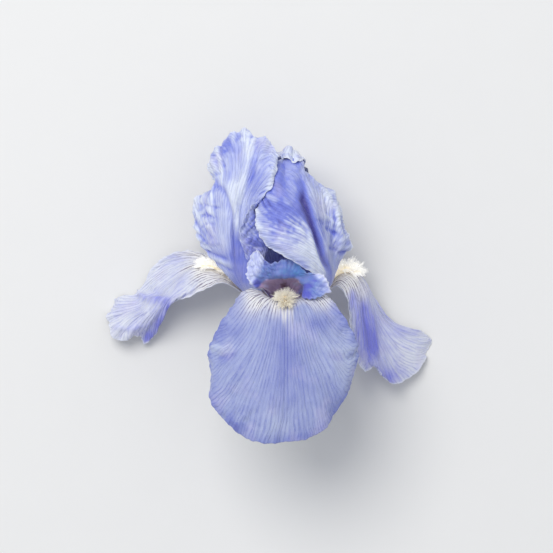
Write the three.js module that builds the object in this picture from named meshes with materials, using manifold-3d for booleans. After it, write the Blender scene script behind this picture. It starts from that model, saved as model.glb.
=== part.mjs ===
// Bearded iris flower, picked with a short stalk and lying on its back.
//
// Millimetres, +Z up. The flower's axis runs along Y: the standards point to +Y, the cut stalk to -Y,
// and the middle fall faces up. Shapes are given round the throat, where the petals leave the tube,
// and the whole flower is then set on the surface with the centre of its box over the origin.
//
// Three falls hang outwards and carry a beard each, three standards stand between them, and inside
// stand the style with its three crested arms and a stamen under each arm. Below are the perianth
// tube, the ovary, the two bracts of the spathe and the stalk.

import * as THREE from "three";
import { mergeVertices } from "three/addons/utils/BufferGeometryUtils.js";
import Module from "manifold-3d";

const wasm = await Module();
wasm.setup();

// Driving dimensions.
const PETAL_THICK = 0.8;
const CLEAR = 0.3; // between pieces that touch on the real flower
const THROAT_Y = -8; // where the petals leave the tube
const THROAT_RADIUS = 6.6;
const CLAW_HALF_ANGLE = 23; // degrees of the throat that half a petal's foot takes up
const FLOOR_Z = -30; // the surface, below the flower's axis
const BOX_CENTRE = [-6.86, 7.63]; // middle of the flower's box, seen from above
const ACROSS = 16; // faces across a petal
const ALONG = 18; // faces from a petal's foot to its rim

const radians = THREE.MathUtils.degToRad;

// ---------------------------------------------------------------------------------------------
// Surfaces

// Weights of four neighbouring points for a Catmull-Rom curve, at f from the second to the third.
function curveWeights(f) {
  return [
    ((2 - f) * f - 1) * f * 0.5,
    ((3 * f - 5) * f * f + 2) * 0.5,
    ((4 - 3 * f) * f + 1) * f * 0.5,
    (f - 1) * f * f * 0.5,
  ];
}

// The point at share u of a smooth curve through the points, which runs on straight past its ends.
function curveAt(points, u) {
  const spans = points.length - 1;
  const span = Math.min(Math.floor(u * spans), spans - 1);
  const weights = curveWeights(u * spans - span);
  const past = (end, next) => end.map((x, k) => 2 * x - next[k]);
  const sum = [0, 0, 0];
  weights.forEach((weight, n) => {
    const at = span - 1 + n;
    let point = points[at];
    if (at < 0) point = past(points[0], points[1]);
    if (at > spans) point = past(points[spans], points[spans - 1]);
    for (let k = 0; k < 3; k += 1) sum[k] += weight * point[k];
  });
  return sum;
}

// A smooth surface through a net of points: rows from foot to rim, each from margin to margin.
function netSurface(rows) {
  return (s, t) => curveAt(rows.map((row) => curveAt(row, s)), t);
}

// A petal's foot: seven points on the throat's circle between two bearings, in degrees.
// Bearing 0 is straight up, towards +Z, and 90 is +X.
function foot(middle, side) {
  return [-1, -2 / 3, -1 / 3, 0, 1 / 3, 2 / 3, 1].map((share) => {
    const bearing = radians(middle + share * side * CLAW_HALF_ANGLE);
    return [THROAT_RADIUS * Math.sin(bearing), THROAT_Y, THROAT_RADIUS * Math.cos(bearing)];
  });
}

// A frill bends a petal's margin to and fro along the surface's normal. It grows from nothing in the
// middle of the blade to its height at the margin, and runs round the margin as two mixed waves.
function frilled(surface, { height, waves, phase }) {
  const step = 0.01;
  const difference = (a, b) => new THREE.Vector3(a[0] - b[0], a[1] - b[1], a[2] - b[2]);
  return (s, t) => {
    const point = surface(s, t);
    const side = 2 * s - 1;
    const margin = 1 - (1 - Math.abs(side) ** 3) * (1 - t ** 4);
    const grown = THREE.MathUtils.smoothstep(t, 0.2, 0.6);
    const round = Math.PI * waves * side * (1.8 - 0.8 * t);
    const wave = 0.65 * Math.sin(round + phase) + 0.35 * Math.sin(1.7 * round + 2.3 * phase);
    const s0 = Math.max(s - step, 0);
    const s1 = Math.min(s + step, 1);
    const t0 = Math.max(t - step, 0);
    const t1 = Math.min(t + step, 1);
    const normal = difference(surface(s1, t), surface(s0, t))
      .cross(difference(surface(s, t1), surface(s, t0)))
      .normalize();
    const lift = height * margin * grown * wave;
    return [point[0] + normal.x * lift, point[1] + normal.y * lift, point[2] + normal.z * lift];
  };
}

// ---------------------------------------------------------------------------------------------
// Solids

function geometryOf(points, faces) {
  const geometry = new THREE.BufferGeometry();
  geometry.setAttribute("position", new THREE.BufferAttribute(new Float32Array(points.flat()), 3));
  geometry.setIndex(faces);
  return geometry;
}

// A blade of even thickness round a surface. Both faces are split along the same diagonals.
// Nothing reaches below the floor, so a blade that would is pressed flat there.
function blade(surface, thick = PETAL_THICK, across = ACROSS, along = ALONG) {
  const columns = across + 1;
  const middle = [];
  for (let j = 0; j <= along; j += 1)
    for (let i = 0; i <= across; i += 1) middle.push(surface(i / across, j / along));
  const at = (i, j) => new THREE.Vector3(...middle[j * columns + i]);
  const upper = [];
  const lower = [];
  for (let j = 0; j <= along; j += 1)
    for (let i = 0; i <= across; i += 1) {
      const acrossIt = at(Math.min(i + 1, across), j).sub(at(Math.max(i - 1, 0), j));
      const alongIt = at(i, Math.min(j + 1, along)).sub(at(i, Math.max(j - 1, 0)));
      const normal = acrossIt.cross(alongIt).normalize().multiplyScalar(thick / 2);
      const over = at(i, j).add(normal);
      const below = at(i, j).sub(normal);
      const press = Math.max(FLOOR_Z - Math.min(over.z, below.z), 0);
      upper.push([over.x, over.y, over.z + press]);
      lower.push([below.x, below.y, below.z + press]);
    }
  const points = [...upper, ...lower];
  const under = middle.length;
  const faces = [];
  for (let j = 0; j < along; j += 1)
    for (let i = 0; i < across; i += 1) {
      const a = j * columns + i;
      const b = a + 1;
      const c = a + columns + 1;
      const d = a + columns;
      faces.push(a, b, c, a, c, d);
      faces.push(a + under, c + under, b + under, a + under, d + under, c + under);
    }
  const wall = (a, b) => faces.push(a, a + under, b + under, a, b + under, b);
  const last = along * columns;
  for (let i = 0; i < across; i += 1) {
    wall(i, i + 1);
    wall(last + i + 1, last + i);
  }
  for (let j = 0; j < along; j += 1) {
    wall((j + 1) * columns, j * columns);
    wall(j * columns + across, (j + 1) * columns + across);
  }
  return geometryOf(points, faces);
}

function solidOf(geometry) {
  const bare = geometry.clone();
  bare.deleteAttribute("normal");
  bare.deleteAttribute("uv");
  const merged = mergeVertices(bare, 1e-4);
  return new wasm.Manifold(
    new wasm.Mesh({
      numProp: 3,
      vertProperties: merged.attributes.position.array,
      triVerts: new Uint32Array(merged.index.array),
    }),
  );
}

function geometryOfSolid(solid) {
  const mesh = solid.getMesh();
  const points = [];
  for (let i = 0; i < mesh.numVert; i += 1) {
    const at = i * mesh.numProp;
    points.push([...mesh.vertProperties.subarray(at, at + 3)]);
  }
  return geometryOf(points, [...mesh.triVerts]);
}

// A rounded body along a path: radius(u) and path(u) for u from 0 to 1, closed to a point at its ends.
function sausage(path, radius, sides, rings) {
  const points = [path(0)];
  for (let j = 1; j < rings; j += 1) {
    const u = j / rings;
    const here = new THREE.Vector3(...path(u));
    const ahead = new THREE.Vector3(...path(Math.min(u + 0.01, 1)));
    const behind = new THREE.Vector3(...path(Math.max(u - 0.01, 0)));
    const line = ahead.sub(behind).normalize();
    const x = new THREE.Vector3(0, 0, 1).cross(line);
    if (x.length() < 0.2) x.set(1, 0, 0).cross(line);
    x.normalize();
    const y = line.clone().cross(x);
    for (let i = 0; i < sides; i += 1) {
      const angle = (2 * Math.PI * i) / sides;
      const out = x.clone().multiplyScalar(Math.cos(angle)).addScaledVector(y, Math.sin(angle));
      points.push(here.clone().addScaledVector(out, radius(u)).toArray());
    }
  }
  points.push(path(1));
  const faces = [];
  const ring = (j) => 1 + (j - 1) * sides;
  for (let i = 0; i < sides; i += 1) {
    const next = (i + 1) % sides;
    faces.push(0, ring(1) + next, ring(1) + i);
    faces.push(points.length - 1, ring(rings - 1) + i, ring(rings - 1) + next);
    for (let j = 1; j < rings - 1; j += 1) {
      faces.push(ring(j) + i, ring(j) + next, ring(j + 1) + next);
      faces.push(ring(j) + i, ring(j + 1) + next, ring(j + 1) + i);
    }
  }
  return geometryOf(points, faces);
}

// ---------------------------------------------------------------------------------------------
// Petals. Each row of a net is a line across the petal, and the last row is its rim.

const frontFall = netSurface([
  foot(0, 1),
  [[-8, 1.5, 16], [-5.6, -1, 17], [-2.9, -2.4, 17.5], [0, -3, 17.5], [2.9, -2.4, 17.5], [5.6, -1, 17], [8, 1.5, 16]],
  [[-14, 5, 24], [-9.5, 2, 27], [-4.8, 0.2, 29], [0, -0.6, 29.5], [4.8, 0.2, 29], [9.5, 1.6, 27], [14.5, 4, 24]],
  [[-19.5, 3.5, 28.5], [-13.5, -1, 33], [-6.6, -4.6, 36.5], [0, -6, 37.5], [6.6, -4.6, 36.5], [13.5, -1.5, 33], [19.5, 1.5, 28.5]],
  [[-24.5, -4.5, 32], [-18, -13, 37.5], [-9, -18.5, 41.5], [0, -20.5, 43], [9, -18.5, 41.5], [17.5, -13, 37.5], [23.8, -5, 32]],
  [[-29, -11, 33.5], [-24.5, -26, 39.5], [-13, -34, 43], [0, -36.5, 44.5], [12, -34, 43], [22, -25.5, 39.5], [28.6, -11.3, 33.5]],
  [[-32.5, -19, 34], [-30, -37, 38.5], [-17, -48, 42], [-1, -51, 43.5], [14, -48, 42], [24.5, -37, 38.5], [31.5, -17.5, 34]],
  [[-34, -26, 33], [-31.5, -46, 36.5], [-18.5, -59.5, 40], [-3, -62.5, 41.5], [14, -58.5, 40], [24.5, -46, 36], [33, -24, 31]],
]);

const leftFall = netSurface([
  foot(-120, -1),
  [[-15.5, 0.5, -3], [-15, -0.8, -4.6], [-14.4, -1.6, -6.2], [-13.6, -1.9, -7.8], [-12.8, -1.6, -9.4], [-12, -0.8, -11], [-11, 0.5, -12.4]],
  [[-27, 7.5, -2], [-26.6, 8.5, -4.6], [-26, 9.6, -7.3], [-25.6, 10.4, -10], [-25.4, 11.2, -12.8], [-25.3, 12.4, -15.4], [-25.5, 14.5, -17.8]],
  [[-34.5, 5.2, -1.5], [-35, 8.5, -4.2], [-35.6, 11.8, -7.6], [-36.2, 14.5, -11.5], [-36.8, 16.6, -15.2], [-37.6, 18.8, -18.4], [-39, 21.5, -21]],
  [[-42.5, 1.8, -3.5], [-43.6, 4.6, -5.5], [-45, 7.8, -9.5], [-46.6, 10.6, -14], [-48, 13.8, -18.4], [-49, 17.6, -21.4], [-50.5, 21.5, -24]],
  [[-51, -2, -11], [-52.4, -0.6, -9.5], [-54, 1.2, -11.5], [-55.6, 3.4, -15], [-57.6, 6, -19], [-59.6, 9.6, -23], [-61.8, 13.5, -26]],
  [[-55.5, -10, -19], [-58, -7.6, -13.5], [-61, -5.4, -13], [-63.6, -3.6, -16.5], [-65.8, -1.6, -21], [-67, 0.8, -25], [-66.6, 3.8, -28]],
  [[-59.5, -15.5, -24], [-63.5, -12.8, -17.5], [-68, -10.5, -16.5], [-71.5, -8, -19.5], [-74, -5.2, -23], [-75, -2, -26], [-74, 1.8, -28.5]],
  [[-64.5, -19.5, -27], [-68, -16.4, -22], [-76.5, -18.8, -21.5], [-80, -14, -23.5], [-81, -9.5, -26], [-80, -4.5, -28.7], [-77, -0.5, -30.3]],
]);

const rightFall = netSurface([
  foot(120, 1),
  [[15.5, 0.5, -3], [15, -0.8, -4.6], [14.4, -1.6, -6.2], [13.6, -1.9, -7.8], [12.8, -1.6, -9.4], [12, -0.8, -11], [11, 0.5, -12.4]],
  [[22.5, 6, -2], [23, 7.6, -4.6], [23.6, 9.4, -7.3], [24, 10.6, -10], [24.4, 11.6, -12.8], [24.8, 12.6, -15.4], [25.5, 13.5, -17.8]],
  [[26.8, 2.6, -1], [28.2, 6, -3.6], [29.6, 9.4, -7], [31, 11.6, -11], [32.4, 12, -14.6], [33.6, 11.6, -17.6], [34.8, 10.4, -20]],
  [[28.8, -6.5, -1], [31.4, -3.4, -2.6], [34.2, 0.6, -6], [36.6, 3.6, -10.5], [38.6, 3.4, -14.6], [40.4, 1.2, -18.2], [42.2, -2.2, -21.5]],
  [[30.2, -17, -2.5], [33.6, -14.5, -3.5], [36.6, -11.5, -7.5], [39, -8.5, -12.5], [42, -7.6, -17], [46.4, -8.6, -21.2], [51, -11, -24.5]],
  [[32, -26, -4.5], [36, -24.5, -5.5], [38.8, -23, -10], [42, -20.5, -14.5], [47, -18, -18.5], [54, -15.5, -23], [60.5, -13.5, -27]],
  [[34, -30, -6], [38.5, -28.6, -8.5], [42, -30.5, -13.5], [46.5, -31, -17], [53, -27.5, -20.5], [60.5, -21.5, -25], [65, -16, -28.5]],
  [[36, -32.3, -8], [41, -30.8, -12], [44.5, -35, -16.5], [50, -38.3, -19.5], [58.5, -34.8, -23.4], [64.5, -26.5, -27.8], [67, -19, -30.6]],
]);

// The right margin of the left standard rolls out over its face, low down.
const leftStandard = netSurface([
  foot(-60, 1),
  [[-12.3, -0.5, 1.6], [-12.2, -1.5, 3.6], [-11.9, -2, 5.7], [-11, -2.2, 7.2], [-10, -2, 8.6], [-8.8, -1.5, 9.8], [-7.4, -0.5, 10.8]],
  [[-23.5, 9, 1], [-23, 8, 5.6], [-21.4, 7.4, 9.4], [-19.4, 7, 12], [-17.2, 7.2, 14.2], [-14.6, 7.8, 16], [-13.4, 9, 18.6]],
  [[-33, 19, -5], [-30.5, 17.5, 4], [-26.6, 17.5, 11], [-22.8, 18, 14.5], [-17.6, 18.5, 15.2], [-8.8, 19, 17.6], [-17.6, 20, 21.8]],
  [[-38.8, 28, -8], [-34.6, 28.5, 2.5], [-29, 29.3, 11.5], [-23.6, 30, 15.5], [-17.6, 30.5, 15.5], [-9, 30.5, 17.2], [-20.2, 30.5, 22.6]],
  [[-40.3, 45, -7], [-35, 44, 3.5], [-28.5, 44, 12], [-22.2, 44, 16], [-17.2, 43.5, 17], [-13.6, 42.6, 18.6], [-14.6, 41.2, 23]],
  [[-31.8, 51, -5], [-30, 54.5, 4], [-25, 57, 11], [-19, 58, 15], [-13.5, 57.5, 18], [-8.5, 55, 21.4], [-6.3, 50, 24]],
  [[-34.8, 59, -6], [-31, 64.5, 1.5], [-24.5, 68.5, 7.5], [-18, 69.5, 11], [-12, 68, 14.4], [-7, 63.5, 18.2], [-4.3, 57, 21.4]],
  [[-33.5, 65, -7], [-29, 71, -1.5], [-23.5, 75.5, 2.5], [-17.5, 77, 5.5], [-10.5, 73.5, 9.8], [-6, 70, 13.6], [-2.8, 64, 17.6]],
]);

// The left half of the right standard folds over the front of the flower.
const rightStandard = netSurface([
  foot(60, 1),
  [[8, -0.5, 12], [9.4, -1.5, 10.6], [10.4, -2, 8.8], [11.2, -2.2, 7.2], [11.9, -2, 5.4], [12.2, -1.5, 3.4], [12.3, -0.5, 1.4]],
  [[15.2, 8.4, 24], [16.9, 7.8, 20.6], [18.6, 7.2, 16.6], [19.8, 7, 12.4], [20.6, 7.2, 8.8], [21.2, 8.2, 5.2], [21.2, 9.6, 1.6]],
  [[9, 14, 28.6], [12.8, 15, 26], [16.8, 16.5, 21], [19.8, 18, 14.5], [21, 18.6, 8.4], [23, 19, 6.2], [25.8, 19.3, 2]],
  [[-0.5, 19.5, 30], [5, 22.5, 29.4], [12, 26, 24.6], [17.8, 29, 16.5], [20.6, 28, 9], [25.6, 26, 7.6], [30, 24.4, 1.5]],
  [[-9.5, 25.5, 28], [-2.5, 31, 29.5], [7, 36, 26], [15, 39.5, 17.5], [18.8, 38, 10.8], [23.6, 35, 9.2], [27.2, 30.8, 2.5]],
  [[-12.6, 35.5, 25.5], [-6, 42, 25.5], [3, 46, 23.4], [11.8, 48.5, 17], [16.2, 47.5, 11.4], [21.6, 44, 9.6], [25.8, 38, 3.2]],
  [[-9.2, 44.5, 19.4], [-5, 51, 19.6], [1, 55, 18.4], [8.5, 56.5, 13.8], [12.4, 54, 10], [18.8, 50.5, 8], [24.3, 45, 3]],
  [[-6, 53, 14], [-3.2, 59.8, 12.4], [1.5, 62.2, 10.4], [6.6, 61.4, 8.8], [9.3, 56.2, 8.4], [14.6, 52.9, 7.2], [20.2, 48, 4]],
]);

// The back standard stands behind the other two, and its tip hooks forward over the rim of the right one.
const backStandard = netSurface([
  foot(180, -1),
  [[-5.2, 0, -11.5], [-3.6, -1, -12.6], [-1.8, -1.6, -13.3], [0, -1.8, -13.5], [1.8, -1.6, -13.3], [3.6, -1, -12.6], [5.2, 0, -11.5]],
  [[-11, 10, -14], [-8, 8.6, -18.4], [-4, 7.8, -20.8], [0, 7.5, -21.5], [4, 7.8, -20.8], [8, 8.6, -18.4], [11, 10, -14]],
  [[-17.5, 22, -16.5], [-13, 20, -22], [-6.8, 19, -26.4], [0, 18.6, -28.2], [6.8, 19, -26.4], [12.5, 20, -22], [16, 22, -16.5]],
  [[-24.5, 35, -12], [-18.5, 34, -21], [-9, 33, -28.2], [0.5, 32.5, -30.1], [9.5, 33, -28.2], [17, 34, -21], [21, 35, -12]],
  [[-24, 48, -9.5], [-17, 48, -18], [-8, 48, -24.5], [1.5, 48, -26.5], [10, 47, -24], [16, 45.5, -17], [19.5, 43, -10]],
  [[-19, 57, -5], [-13, 60, -8.5], [-5.5, 61.5, -10.5], [2, 63, -10.5], [7, 61, -9.5], [11, 55, -7.5], [14.5, 49.5, -5.5]],
  [[-14, 61, -1.5], [-9, 65, -3.5], [-3.4, 66.2, 0], [2, 68.4, 3.5], [6.2, 65.6, 2], [8.7, 59.8, -3], [10.8, 52.8, -5]],
  [[-12.5, 60.5, 1.8], [-7.8, 63.8, 2.6], [-2.6, 64.2, 9.8], [1.4, 62, 15.4], [6.5, 61.7, 15], [9, 61.9, 5.8], [10.9, 54.6, -3]],
]);

// How each fall and standard is made: its surface, and the frill of its margin.
const PETALS = {
  fall_front: [frontFall, { height: 1, waves: 4, phase: 0.6 }],
  fall_left: [leftFall, { height: 1.2, waves: 4, phase: 2.1 }],
  fall_right: [rightFall, { height: 1.2, waves: 4, phase: 4.4 }],
  standard_left: [leftStandard, { height: 1.1, waves: 4.5, phase: 1.2 }],
  standard_right: [rightStandard, { height: 1.2, waves: 4, phase: 3.3 }],
  standard_back: [backStandard, { height: 1.2, waves: 4, phase: 5.1 }],
};

// ---------------------------------------------------------------------------------------------
// Beards: a crest of bristles on a low ridge that lies along the middle of each fall's haft.

const RIDGE_RADIUS = 1.2;
const BRISTLES = 60;
const BRISTLE_ROOT = 0.5; // half the width of a bristle where it leaves the ridge

// Numbers from 0 to 1 that are the same on each run.
function seeded(seed) {
  let state = seed;
  return () => {
    state = (state * 16807) % 2147483647;
    return state / 2147483647;
  };
}

// A three-sided bristle from a root to a tip.
function bristle(root, tip) {
  const line = tip.clone().sub(root).normalize();
  const x = new THREE.Vector3(0.3, 0.5, 0.8).cross(line).normalize();
  const y = line.clone().cross(x);
  const corners = [0, 1, 2].map((n) => {
    const angle = (2 * Math.PI * n) / 3;
    return root
      .clone()
      .addScaledVector(x, BRISTLE_ROOT * Math.cos(angle))
      .addScaledVector(y, BRISTLE_ROOT * Math.sin(angle))
      .toArray();
  });
  return geometryOf([...corners, tip.toArray()], [0, 2, 1, 0, 1, 3, 1, 2, 3, 2, 0, 3]);
}

// The upper face of a fall is on the side of its surface's normal where upper is 1, else -1.
function beard(surface, { from, to, upper, length, seed }) {
  const onHaft = (t, lift) => {
    const here = new THREE.Vector3(...surface(0.5, t));
    const along = new THREE.Vector3(...surface(0.5, t + 0.01)).sub(here).normalize();
    const across = new THREE.Vector3(...surface(0.51, t)).sub(here).normalize();
    const up = across.clone().cross(along).multiplyScalar(upper).normalize();
    return { point: here.addScaledVector(up, lift), along, across, up };
  };
  const lift = PETAL_THICK / 2 + CLEAR + RIDGE_RADIUS;
  const ridgePath = (u) => onHaft(from + (to - from) * u, lift).point.toArray();
  const ridge = sausage(ridgePath, (u) => RIDGE_RADIUS * Math.sin(Math.PI * u) ** 0.5, 8, 9);
  const random = seeded(seed);
  const bristles = [];
  for (let n = 0; n < BRISTLES; n += 1) {
    const u = 0.06 + (0.88 * (n + random())) / BRISTLES;
    const { point, along, across, up } = onHaft(from + (to - from) * u, lift);
    const lean = radians(150 * (random() - 0.5));
    const reach = length * (0.4 + 0.6 * Math.sin(Math.PI * u ** 0.8)) * (0.8 + 0.2 * random());
    const line = up
      .clone()
      .multiplyScalar(Math.cos(lean))
      .addScaledVector(across, Math.sin(lean))
      .addScaledVector(along, 1.1 * u * u + 0.3 * (random() - 0.5))
      .normalize();
    bristles.push(solidOf(bristle(point, point.clone().addScaledVector(line, reach + RIDGE_RADIUS))));
  }
  return geometryOfSolid(wasm.Manifold.union([solidOf(ridge), ...bristles]));
}

const BEARDS = {
  beard_front: [frontFall, { from: 0.19, to: 0.39, upper: -1, length: 4.2, seed: 11 }],
  beard_left: [leftFall, { from: 0.22, to: 0.43, upper: 1, length: 5.2, seed: 23 }],
  beard_right: [rightFall, { from: 0.21, to: 0.42, upper: -1, length: 5.4, seed: 37 }],
};

// ---------------------------------------------------------------------------------------------
// Style: a short column that parts into three arms, each ending in an upturned two-lobed crest.

const COLUMN_RADIUS = 2.6;
const COLUMN_HEIGHT = 9;
const ARM_THICK = 1;
const armRoot = [
  [[-1.5, -3.2, 0.8], [-1, -2.4, 1], [-0.5, -2, 1.1], [0, -1.8, 1.1], [0.5, -2, 1.1], [1, -2.4, 1], [1.5, -3.2, 0.8]],
  [[-3.2, -1, 4], [-2.2, 0.2, 4.4], [-1.1, 0.9, 4.6], [0, 1.2, 4.7], [1.1, 0.9, 4.6], [2.2, 0.2, 4.4], [3.2, -1, 4]],
];

// The arm over the middle fall. Its left lobe stands up and its right lobe hangs beside the beard.
const frontArm = netSurface([
  ...armRoot,
  [[-6.5, 3, 11], [-4.6, 5.2, 11.6], [-2.4, 6.4, 12], [0, 6.8, 12.2], [2.4, 6.4, 12], [4.6, 5.2, 11.6], [6.5, 3, 11]],
  [[-9.4, 5.2, 18.6], [-7, 7.4, 18.9], [-3.5, 8.9, 18.9], [0, 9.4, 18.8], [3.6, 9, 18.6], [7, 7.4, 18.8], [9, 4.6, 20]],
  [[-14.2, 6.4, 24.4], [-10, 9, 24.2], [-4.8, 10.2, 24], [0.2, 10.8, 23.8], [5, 10.2, 23.8], [8.6, 6.6, 26.8], [7.8, 1.4, 31.6]],
  [[-17, 9.8, 25], [-12.2, 14.6, 26.4], [-6.2, 13.4, 26.2], [0.4, 14.2, 25.4], [7, 11.8, 25.8], [12.6, 7.6, 30], [13.8, 1.2, 33.4]],
  [[-17.2, 16, 24.2], [-12.8, 22.2, 24.8], [-6.8, 16.4, 27], [0.6, 17.6, 25.6], [8.4, 11.8, 28.4], [16.8, 11.4, 31.8], [20.6, 4.2, 31.8]],
]);

// The arms over the side falls, along +Z before they are turned to their bearings.
const sideArm = netSurface([
  ...armRoot,
  [[-5, 6, 9.6], [-3.7, 8, 10], [-1.9, 9.4, 10.3], [0, 9.9, 10.4], [1.9, 9.4, 10.3], [3.7, 8, 10], [5, 6, 9.6]],
  [[-6.4, 12.5, 14.6], [-4.8, 14.6, 15.4], [-2.5, 16, 15.8], [0, 16.4, 16], [2.5, 16, 15.8], [4.8, 14.6, 15.4], [6.4, 12.5, 14.6]],
  [[-7.2, 17.4, 18.4], [-5.4, 19.8, 20], [-2.8, 21.1, 20.8], [0, 21.3, 21], [2.8, 21.1, 20.8], [5.4, 19.8, 20], [7.2, 17.4, 18.4]],
  [[-7.8, 22, 20], [-5.8, 24.6, 22.6], [-3, 24.6, 23.6], [0, 23.6, 24], [3, 24.6, 23.6], [5.8, 24.6, 22.6], [7.8, 22, 20]],
  [[-8, 25, 19.5], [-5.9, 28.6, 22.8], [-3, 27.4, 25], [0, 24.6, 25.6], [3, 27.4, 25], [5.9, 28.6, 22.8], [8, 25, 19.5]],
]);

const SIDE_BEARING = 104; // degrees from the middle fall to each side fall's haft

// A surface turned about the flower's axis, so that what ran along +Z runs along a bearing.
function turned(surface, bearing) {
  const [sin, cos] = [Math.sin(radians(bearing)), Math.cos(radians(bearing))];
  return (s, t) => {
    const [x, y, z] = surface(s, t);
    return [x * cos + z * sin, y, z * cos - x * sin];
  };
}

function style() {
  const column = new THREE.CylinderGeometry(COLUMN_RADIUS, COLUMN_RADIUS, COLUMN_HEIGHT, 12);
  column.translate(0, THROAT_Y - PETAL_THICK / 2 + COLUMN_HEIGHT / 2, 0);
  const arms = [frontArm, turned(sideArm, -SIDE_BEARING), turned(sideArm, SIDE_BEARING)];
  const frill = { height: 0.7, waves: 3, phase: 1 };
  const blades = arms.map((arm) => solidOf(blade(frilled(arm, frill), ARM_THICK, 12, 10)));
  return geometryOfSolid(wasm.Manifold.union([solidOf(column), ...blades]));
}

// ---------------------------------------------------------------------------------------------
// Stamens: a filament and its long anther, in the space between a style arm and a fall.

const FILAMENT_RADIUS = 0.7;
const ANTHER_RADIUS = 1.2;
const STAMEN_FOOT = 4.4; // from the flower's axis

// A smooth path through points given as [height, distance from the axis], at a bearing.
function climbing(points, bearing) {
  const line = points.map(([y, z]) => [0, y, z]);
  const at = turned((s, t) => curveAt(line, t), bearing);
  return (u) => at(0, u);
}

function stamen(bearing, rise) {
  const footY = THROAT_Y - PETAL_THICK / 2;
  const neck = [0.5 + rise * 0.35, 9.2];
  const filament = climbing([[footY, STAMEN_FOOT], [-3.2, 6.8], neck, [neck[0] + 1.6 + rise * 0.2, 10.6]], bearing);
  const anther = climbing([[neck[0] - 0.8, 7.9], [neck[0] + 1.9 + rise * 0.28, 12.6], [neck[0] + 3.6 + rise, 17.8]], bearing);
  const thread = sausage(filament, () => FILAMENT_RADIUS, 6, 9);
  const pod = sausage(anther, (u) => ANTHER_RADIUS * Math.sin(Math.PI * u) ** 0.35, 8, 9);
  return geometryOfSolid(solidOf(thread).add(solidOf(pod)));
}

// ---------------------------------------------------------------------------------------------
// Below the petals: perianth tube, ovary, stalk and the two bracts, along an axis that sags a little.

const TUBE_TOP = THROAT_Y - PETAL_THICK / 2 - CLEAR;
const TUBE_FOOT = -24;
const OVARY_TOP = TUBE_FOOT - CLEAR;
const OVARY_FOOT = -46;
const STALK_TOP = OVARY_FOOT - CLEAR;
const STALK_FOOT = -61;

const sag = (y) => -0.0022 * (y - THROAT_Y) ** 2;

// A body of flat-ended rings round that axis, each given as [height, radius], with lobes in threes.
function turnedBody(rings, lobes, sides) {
  const points = [];
  const faces = [];
  rings.forEach(([y, radius]) => {
    for (let i = 0; i < sides; i += 1) {
      const angle = (2 * Math.PI * i) / sides;
      const r = radius * (1 + lobes * Math.cos(3 * angle));
      points.push([r * Math.sin(angle), y, r * Math.cos(angle) + sag(y)]);
    }
  });
  const last = rings.length - 1;
  const [top, bottom] = [points.length, points.length + 1];
  points.push([0, rings[0][0], sag(rings[0][0])], [0, rings[last][0], sag(rings[last][0])]);
  for (let i = 0; i < sides; i += 1) {
    const next = (i + 1) % sides;
    faces.push(top, i, next, bottom, last * sides + next, last * sides + i);
    for (let j = 0; j < last; j += 1) {
      const [a, b] = [j * sides + i, j * sides + next];
      faces.push(a, a + sides, b + sides, a, b + sides, b);
    }
  }
  return geometryOf(points, faces);
}

// A bract wraps round one side of the ovary, from its foot on the stalk to a pointed tip.
function bract(bearing, halfAngle, tipY) {
  const footY = -51;
  const radius = (t) => 4.6 + 3.5 * THREE.MathUtils.smoothstep(t, 0, 0.28) + 1.2 * t ** 3;
  return (s, t) => {
    const y = footY + (tipY - footY) * t;
    const narrowing = (1 - t ** 2.2) * 0.97 + 0.03;
    const angle = radians(bearing + (2 * s - 1) * halfAngle * narrowing);
    return [radius(t) * Math.sin(angle), y, radius(t) * Math.cos(angle) + sag(y)];
  };
}

// ---------------------------------------------------------------------------------------------
// The flower

const PETAL_BLUE = 0xa9aee6;
const CREAM = 0xf0e6c4;
const GREEN = 0x86a060;

const flower = new THREE.Group();
flower.position.set(-BOX_CENTRE[0], -BOX_CENTRE[1], -FLOOR_Z);

function add(name, geometry, color, roughness) {
  const mesh = new THREE.Mesh(
    geometry,
    new THREE.MeshStandardMaterial({ color, roughness, metalness: 0 }),
  );
  mesh.name = name;
  flower.add(mesh);
}

for (const [name, [surface, frill]] of Object.entries(PETALS))
  add(name, blade(frilled(surface, frill)), PETAL_BLUE, 0.55);
for (const [name, [surface, shape]] of Object.entries(BEARDS))
  add(name, beard(surface, shape), CREAM, 0.7);
add("style", style(), 0x9db4e4, 0.5);
add("stamen_front", stamen(0, 0), CREAM, 0.7);
add("stamen_left", stamen(-SIDE_BEARING - 4, 4), CREAM, 0.7);
add("stamen_right", stamen(SIDE_BEARING + 4, 4), CREAM, 0.7);
add("perianth_tube", turnedBody([[TUBE_TOP, 7.3], [-11, 6], [-15, 4.7], [-20, 4.1], [TUBE_FOOT, 4.2]], 0.03, 18), 0xa3b38a, 0.5);
add("ovary", turnedBody([[OVARY_TOP, 4.6], [-28, 5.6], [-34, 6.2], [-40, 5.8], [-44, 4.6], [OVARY_FOOT, 3.9]], 0.06, 18), GREEN, 0.5);
add("stalk", turnedBody([[STALK_TOP, 3.7], [-50, 3.7], [-56, 3.9], [STALK_FOOT, 4]], 0, 16), GREEN, 0.5);
add("bract_outer", blade(bract(195, 82, -11), 0.7, 10, 12), 0x9aa06a, 0.7);
add("bract_inner", blade(bract(15, 76, -15), 0.7, 10, 12), 0x9aa06a, 0.7);

export default flower;
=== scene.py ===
"""A picked bearded iris flower, lying on its back on a pale surface.

Shapes are worked out in millimetres in the flower's own frame: Y runs along its axis from the stalk to
the standards, Z rises out of the front fall's face, and the origin is in the flower's heart, above the
ring that the petals grow from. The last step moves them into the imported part's frame, in metres.
"""

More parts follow.
